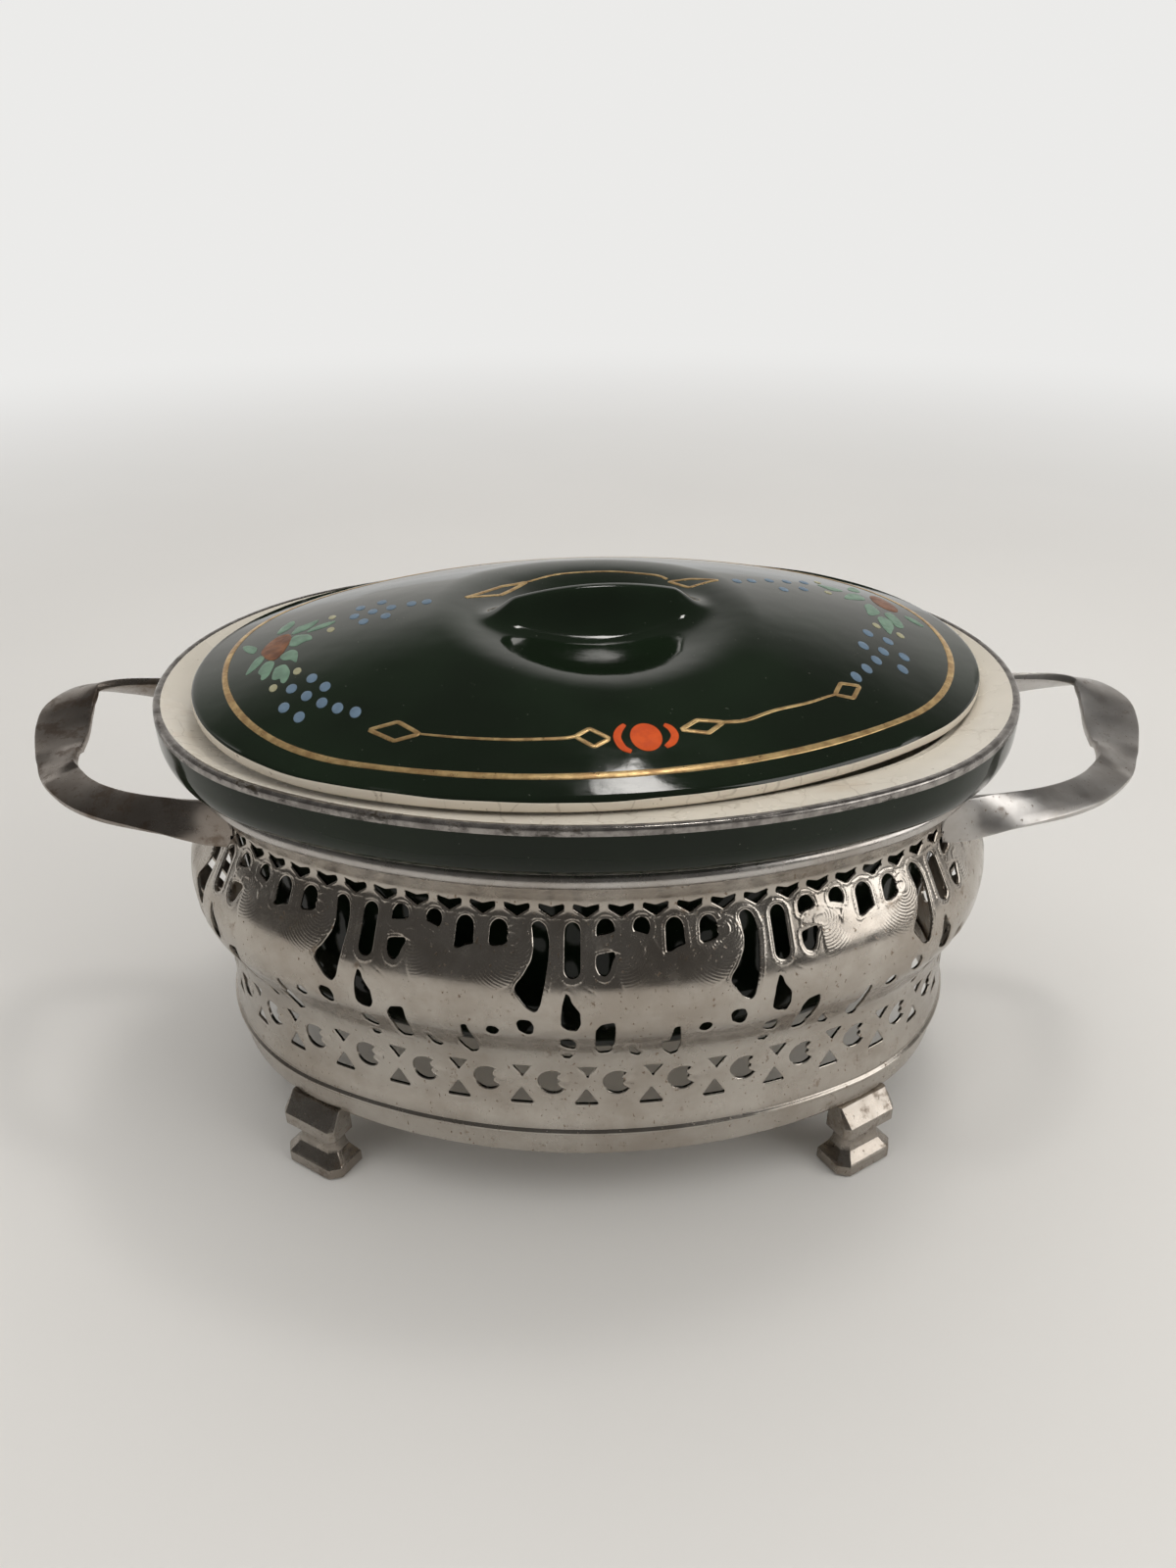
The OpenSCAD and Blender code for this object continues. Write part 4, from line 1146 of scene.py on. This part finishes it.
def foot(name, angle):
    """A cast bracket foot at an angle round the band, built up from the floor level by level."""
    levels = foot_levels()
    points, faces = [], []
    for z, out, inn, half, c in levels:
        z = z * band_lo.z / FOOT_H
        points += [(-inn, half, z), (-inn, -half, z), (out - c, -half, z), (out, c - half, z),
                   (out, half - c, z), (out - c, half, z)]
    n, m = 6, len(levels)
    faces.append(list(range(n))[::-1])
    faces.append([(m - 1) * n + i for i in range(n)])
    for j in range(m - 1):
        for i in range(n):
            k = (i + 1) % n
            faces.append([j * n + i, j * n + k, (j + 1) * n + k, (j + 1) * n + i])
    at = oval_xy(FLANGE_A, math.radians(angle))
    turn = Matrix.Rotation(math.radians(angle), 3, "Z")
    placed = [tuple(turn @ Vector(p) + Vector((float(at[0]), float(at[1]), 0))) for p in points]
    obj = piece(name + "_cast", placed, faces, [CAST], "stand", name, sharp=30)
    bevel = obj.modifiers.new("edges", "BEVEL")
    bevel.width = 0.5 * MM
    bevel.segments = 3
    bevel.limit_method = "ANGLE"
    bevel.angle_limit = math.radians(14)


# ---------------------------------------------------------------- handles
HANDLE_REACH, ROOT_Y, STRAP_T, ROOT_H = 80.0, 41.0, 2.8, 14.0
HANDLE_Z = SHEET_TOP_Z - ROOT_H / 2 - 0.2
# From the back root round to the front one: reach share, place across as a share of the root's,
# height over the middle, half-width share, tilt in degrees
STATIONS = [
    (-0.02, -1.02, 0, 0.5, 88), (0.07, -1.01, 0.3, 0.48, 82), (0.15, -1, 1.2, 0.42, 66),
    (0.23, -0.97, 1.8, 0.38, 48), (0.34, -0.9, 1.6, 0.37, 34), (0.46, -0.79, 1, 0.38, 26),
    (0.575, -0.65, 0.8, 0.39, 20), (0.675, -0.46, 0.6, 0.4, 14), (0.76, -0.22, 0.6, 0.43, 10),
    (0.825, 0.2, 1.7, 0.6, 8), (0.86, 0.46, 3.7, 0.64, 8), (0.865, 0.66, 5.8, 0.62, 9),
    (0.82, 0.86, 7.4, 0.52, 18), (0.7, 0.96, 6.4, 0.45, 36), (0.525, 1, 4.4, 0.44, 52),
    (0.33, 1.01, 2.4, 0.47, 68), (0.15, 1.01, 1, 0.5, 80), (-0.02, 1.02, 0, 0.5, 88),
]
STATION_STEPS = 6
# a short flat, pressed where the grip turns into the front arm: from and to station, added tilt
FLAT_FROM, FLAT_TO, FLAT_TILT = 7.6, 8.45, 12
# the strap's section, as shares of its half-width and half-thickness
SECTION = [
    (-1, -0.45), (-0.97, -0.85), (-0.86, -1), (-0.4, -1), (0, -1), (0.4, -1), (0.86, -1), (0.97, -0.85),
    (1, -0.45), (1, 0.45), (0.97, 0.85), (0.86, 1), (0.4, 1.04), (0, 1.06), (-0.4, 1.04), (-0.86, 1),
    (-0.97, 0.85), (-1, 0.45),
]


def end_x(a, y):
    """Place along x where the end arc of the oval of half-length a passes y."""
    return END_CENTRE + math.sqrt((a - END_CENTRE) ** 2 - y ** 2)


def strap(name, side):
    """A loop handle on the right (side 1) or, mirrored, on the left (side -1)."""
    line = curve(STATIONS, STATION_STEPS)
    root_x = end_x(float(wall_a(HANDLE_Z)), ROOT_Y)
    centre = np.column_stack([root_x + line[:, 0] * HANDLE_REACH, line[:, 1] * ROOT_Y, HANDLE_Z + line[:, 2]])
    d = np.gradient(centre[:, :2], axis=0)
    d /= np.hypot(d[:, 0], d[:, 1])[:, None]
    out = np.column_stack([d[:, 1], -d[:, 0]])
    at = np.arange(len(line)) / STATION_STEPS
    tilt = np.radians(line[:, 4] + FLAT_TILT * ((at > FLAT_FROM) & (at < FLAT_TO)))
    half, t = line[:, 3] * ROOT_H, STRAP_T / 2
    across = np.column_stack([out * np.cos(tilt)[:, None], -np.sin(tilt)])
    up = np.column_stack([out * np.sin(tilt)[:, None], np.cos(tilt)])
    rows = []
    for i in range(len(line)):
        row = [centre[i] + across[i] * s * half[i] + up[i] * h * t for s, h in SECTION]
        if i in (0, len(line) - 1):
            # the roots end a tenth off the wall
            row = [(end_x(float(wall_a(p[2])) + 0.1, p[1]), p[1], p[2]) for p in row]
        rows.append(row)
    points = np.array(rows).reshape(-1, 3) * [side, 1, 1]
    n, m = len(SECTION), len(line)
    faces = [[j * n + i, j * n + (i + 1) % n, (j + 1) * n + (i + 1) % n, (j + 1) * n + i]
             for j in range(m - 1) for i in range(n)]
    faces += [list(range(n))[::-1], [(m - 1) * n + i for i in range(n)]]
    if side < 0:
        faces = [f[::-1] for f in faces]
    # the right strap takes the nickel with painted light, the left one the nickel with painted shade
    piece(name + "_strap", points, faces, [STRAP_PAINTED_LIT if side > 0 else STRAP_PAINTED_SHADE], "stand",
          name, sharp=45)


# ---------------------------------------------------------------- floor, light and camera
SKY, SKY_GLOW = rgb(0.97, 0.965, 0.95), 0.86


def floor():
    """A plain pale floor; far from the object it glows like the sky, where that is looked at."""
    look = Look("floor_pale", Roughness=0.75)
    cloud = look.spread(look.noise(0.004, 2), 0.3, 0.7)
    look.feed(Base_Color=look.blend(cloud, rgb(0.80, 0.79, 0.77), rgb(0.78, 0.77, 0.75)))
    far = look.node("ShaderNodeVectorMath", {0: look.place}, operation="LENGTH").outputs["Value"]
    path = look.node("ShaderNodeLightPath").outputs
    # reflections show the glow only where they meet the floor behind the object
    behind = look.spread(look.axis("Y", look.place), -0.3, 0.2)
    mirrored = look.math("MULTIPLY", behind, path["Is Glossy Ray"])
    indirect = look.math("MAXIMUM", mirrored, path["Is Transmission Ray"])
    share = look.math("MULTIPLY", look.spread(far, 0.45, 1.5),
                      look.math("MAXIMUM", path["Is Camera Ray"], indirect))
    glow = look.node("ShaderNodeEmission", {"Color": SKY, "Strength": SKY_GLOW}).outputs[0]
    look.show("Material Output", share, look.shader.outputs[0], glow)
    mesh = bpy.data.meshes.new("floor")
    r = 30.0  # metres
    mesh.from_pydata([(-r, -r, 0), (r, -r, 0), (r, r, 0), (-r, r, 0)], [], [(0, 1, 2, 3)])
    mesh.materials.append(look.mat)
    obj = bpy.data.objects.new("floor", mesh)
    bpy.context.scene.collection.objects.link(obj)


def lamp(name, place, aim, size, watts, colour, mirrored=True):
    """A rectangular lamp, which reflections show only if it is mirrored; lengths in metres."""
    data = bpy.data.lights.new(name, "AREA")
    data.shape = "RECTANGLE"
    data.size, data.size_y = size
    data.energy = watts
    data.color = colour
    obj = bpy.data.objects.new(name, data)
    obj.visible_glossy = mirrored
    obj.location = place
    obj.rotation_euler = (Vector(aim) - Vector(place)).to_track_quat("-Z", "Y").to_euler()
    bpy.context.scene.collection.objects.link(obj)


def world():
    """A dim room whose far wall is pale up to a little over the horizon; for the camera, plain sky."""
    made = bpy.data.worlds.new("studio")
    bpy.context.scene.world = made
    made.use_nodes = True
    nodes = Nodes(made.node_tree)
    place = nodes.node("ShaderNodeTexCoord").outputs["Generated"]
    behind = nodes.spread(nodes.axis("Y", place), 0.0, 0.8)
    low = nodes.spread(nodes.axis("Z", place), 0.28, 0.66, 0.62, 0.0)
    strength = nodes.math("ADD", nodes.math("MULTIPLY", behind, low), 0.1)
    room = nodes.node("ShaderNodeBackground", {"Color": rgb(1.0, 0.97, 0.93), "Strength": strength})
    sky = nodes.node("ShaderNodeBackground", {"Color": SKY, "Strength": SKY_GLOW})
    seen = nodes.node("ShaderNodeLightPath").outputs["Is Camera Ray"]
    nodes.show("World Output", seen, room.outputs[0], sky.outputs[0])


def camera():
    """The photograph's camera: seen from the front, 29.3 degrees above the horizon; lengths in metres."""
    elevation, roll = math.radians(29.3), math.radians(-0.35)
    distance, look_at = 0.377, Vector((0.0003, 0, 0.0989))
    focal_px, height_px, sensor = 1203, 1600, 36.0
    back = Vector((0, -math.cos(elevation), math.sin(elevation)))
    right = Vector((1, 0, 0))
    up = back.cross(right)
    cos, sin = math.cos(roll), math.sin(roll)
    right, up = right * cos + up * sin, up * cos - right * sin
    data = bpy.data.cameras.new("camera")
    data.sensor_fit = "VERTICAL"
    data.sensor_height = sensor
    data.lens = focal_px / height_px * sensor
    data.clip_start = 0.01
    obj = bpy.data.objects.new("camera", data)
    at = look_at + back * distance
    obj.matrix_world = Matrix.Translation(at) @ Matrix((right, up, back)).transposed().to_4x4()
    bpy.context.scene.collection.objects.link(obj)
    bpy.context.scene.camera = obj


camera()
world()
floor()
lamp("soft_top", (0.0, 0.2, 1.8), (0, 0.1, 0), (3.0, 3.0), 32.0, (1, 0.98, 0.95), False)
lamp("soft_left", (-1.1, -0.7, 0.8), (0, 0, 0.1), (0.8, 0.8), 2.8, (1, 0.98, 0.95), False)
lamp("soft_right", (1.1, -0.5, 0.7), (0, 0, 0.1), (0.9, 0.9), 6.0, (1, 0.98, 0.95))
lamp("key", (0.22, 0.22, 1.3), (0, 0, 0.1), (0.22, 0.14), 1.6, (1, 0.97, 0.93))

casserole_dish()
lid()
lid_painting()
pierced_gallery()
rim_bead()
base_band()
for name, angle in (("front_left_foot", 180 + FOOT_ANGLE), ("front_right_foot", -FOOT_ANGLE),
                    ("back_left_foot", 180 - FOOT_ANGLE), ("back_right_foot", FOOT_ANGLE)):
    foot(name, angle)
strap("right_handle", 1)
strap("left_handle", -1)

scene = bpy.context.scene
scene.view_settings.view_transform = "Standard"
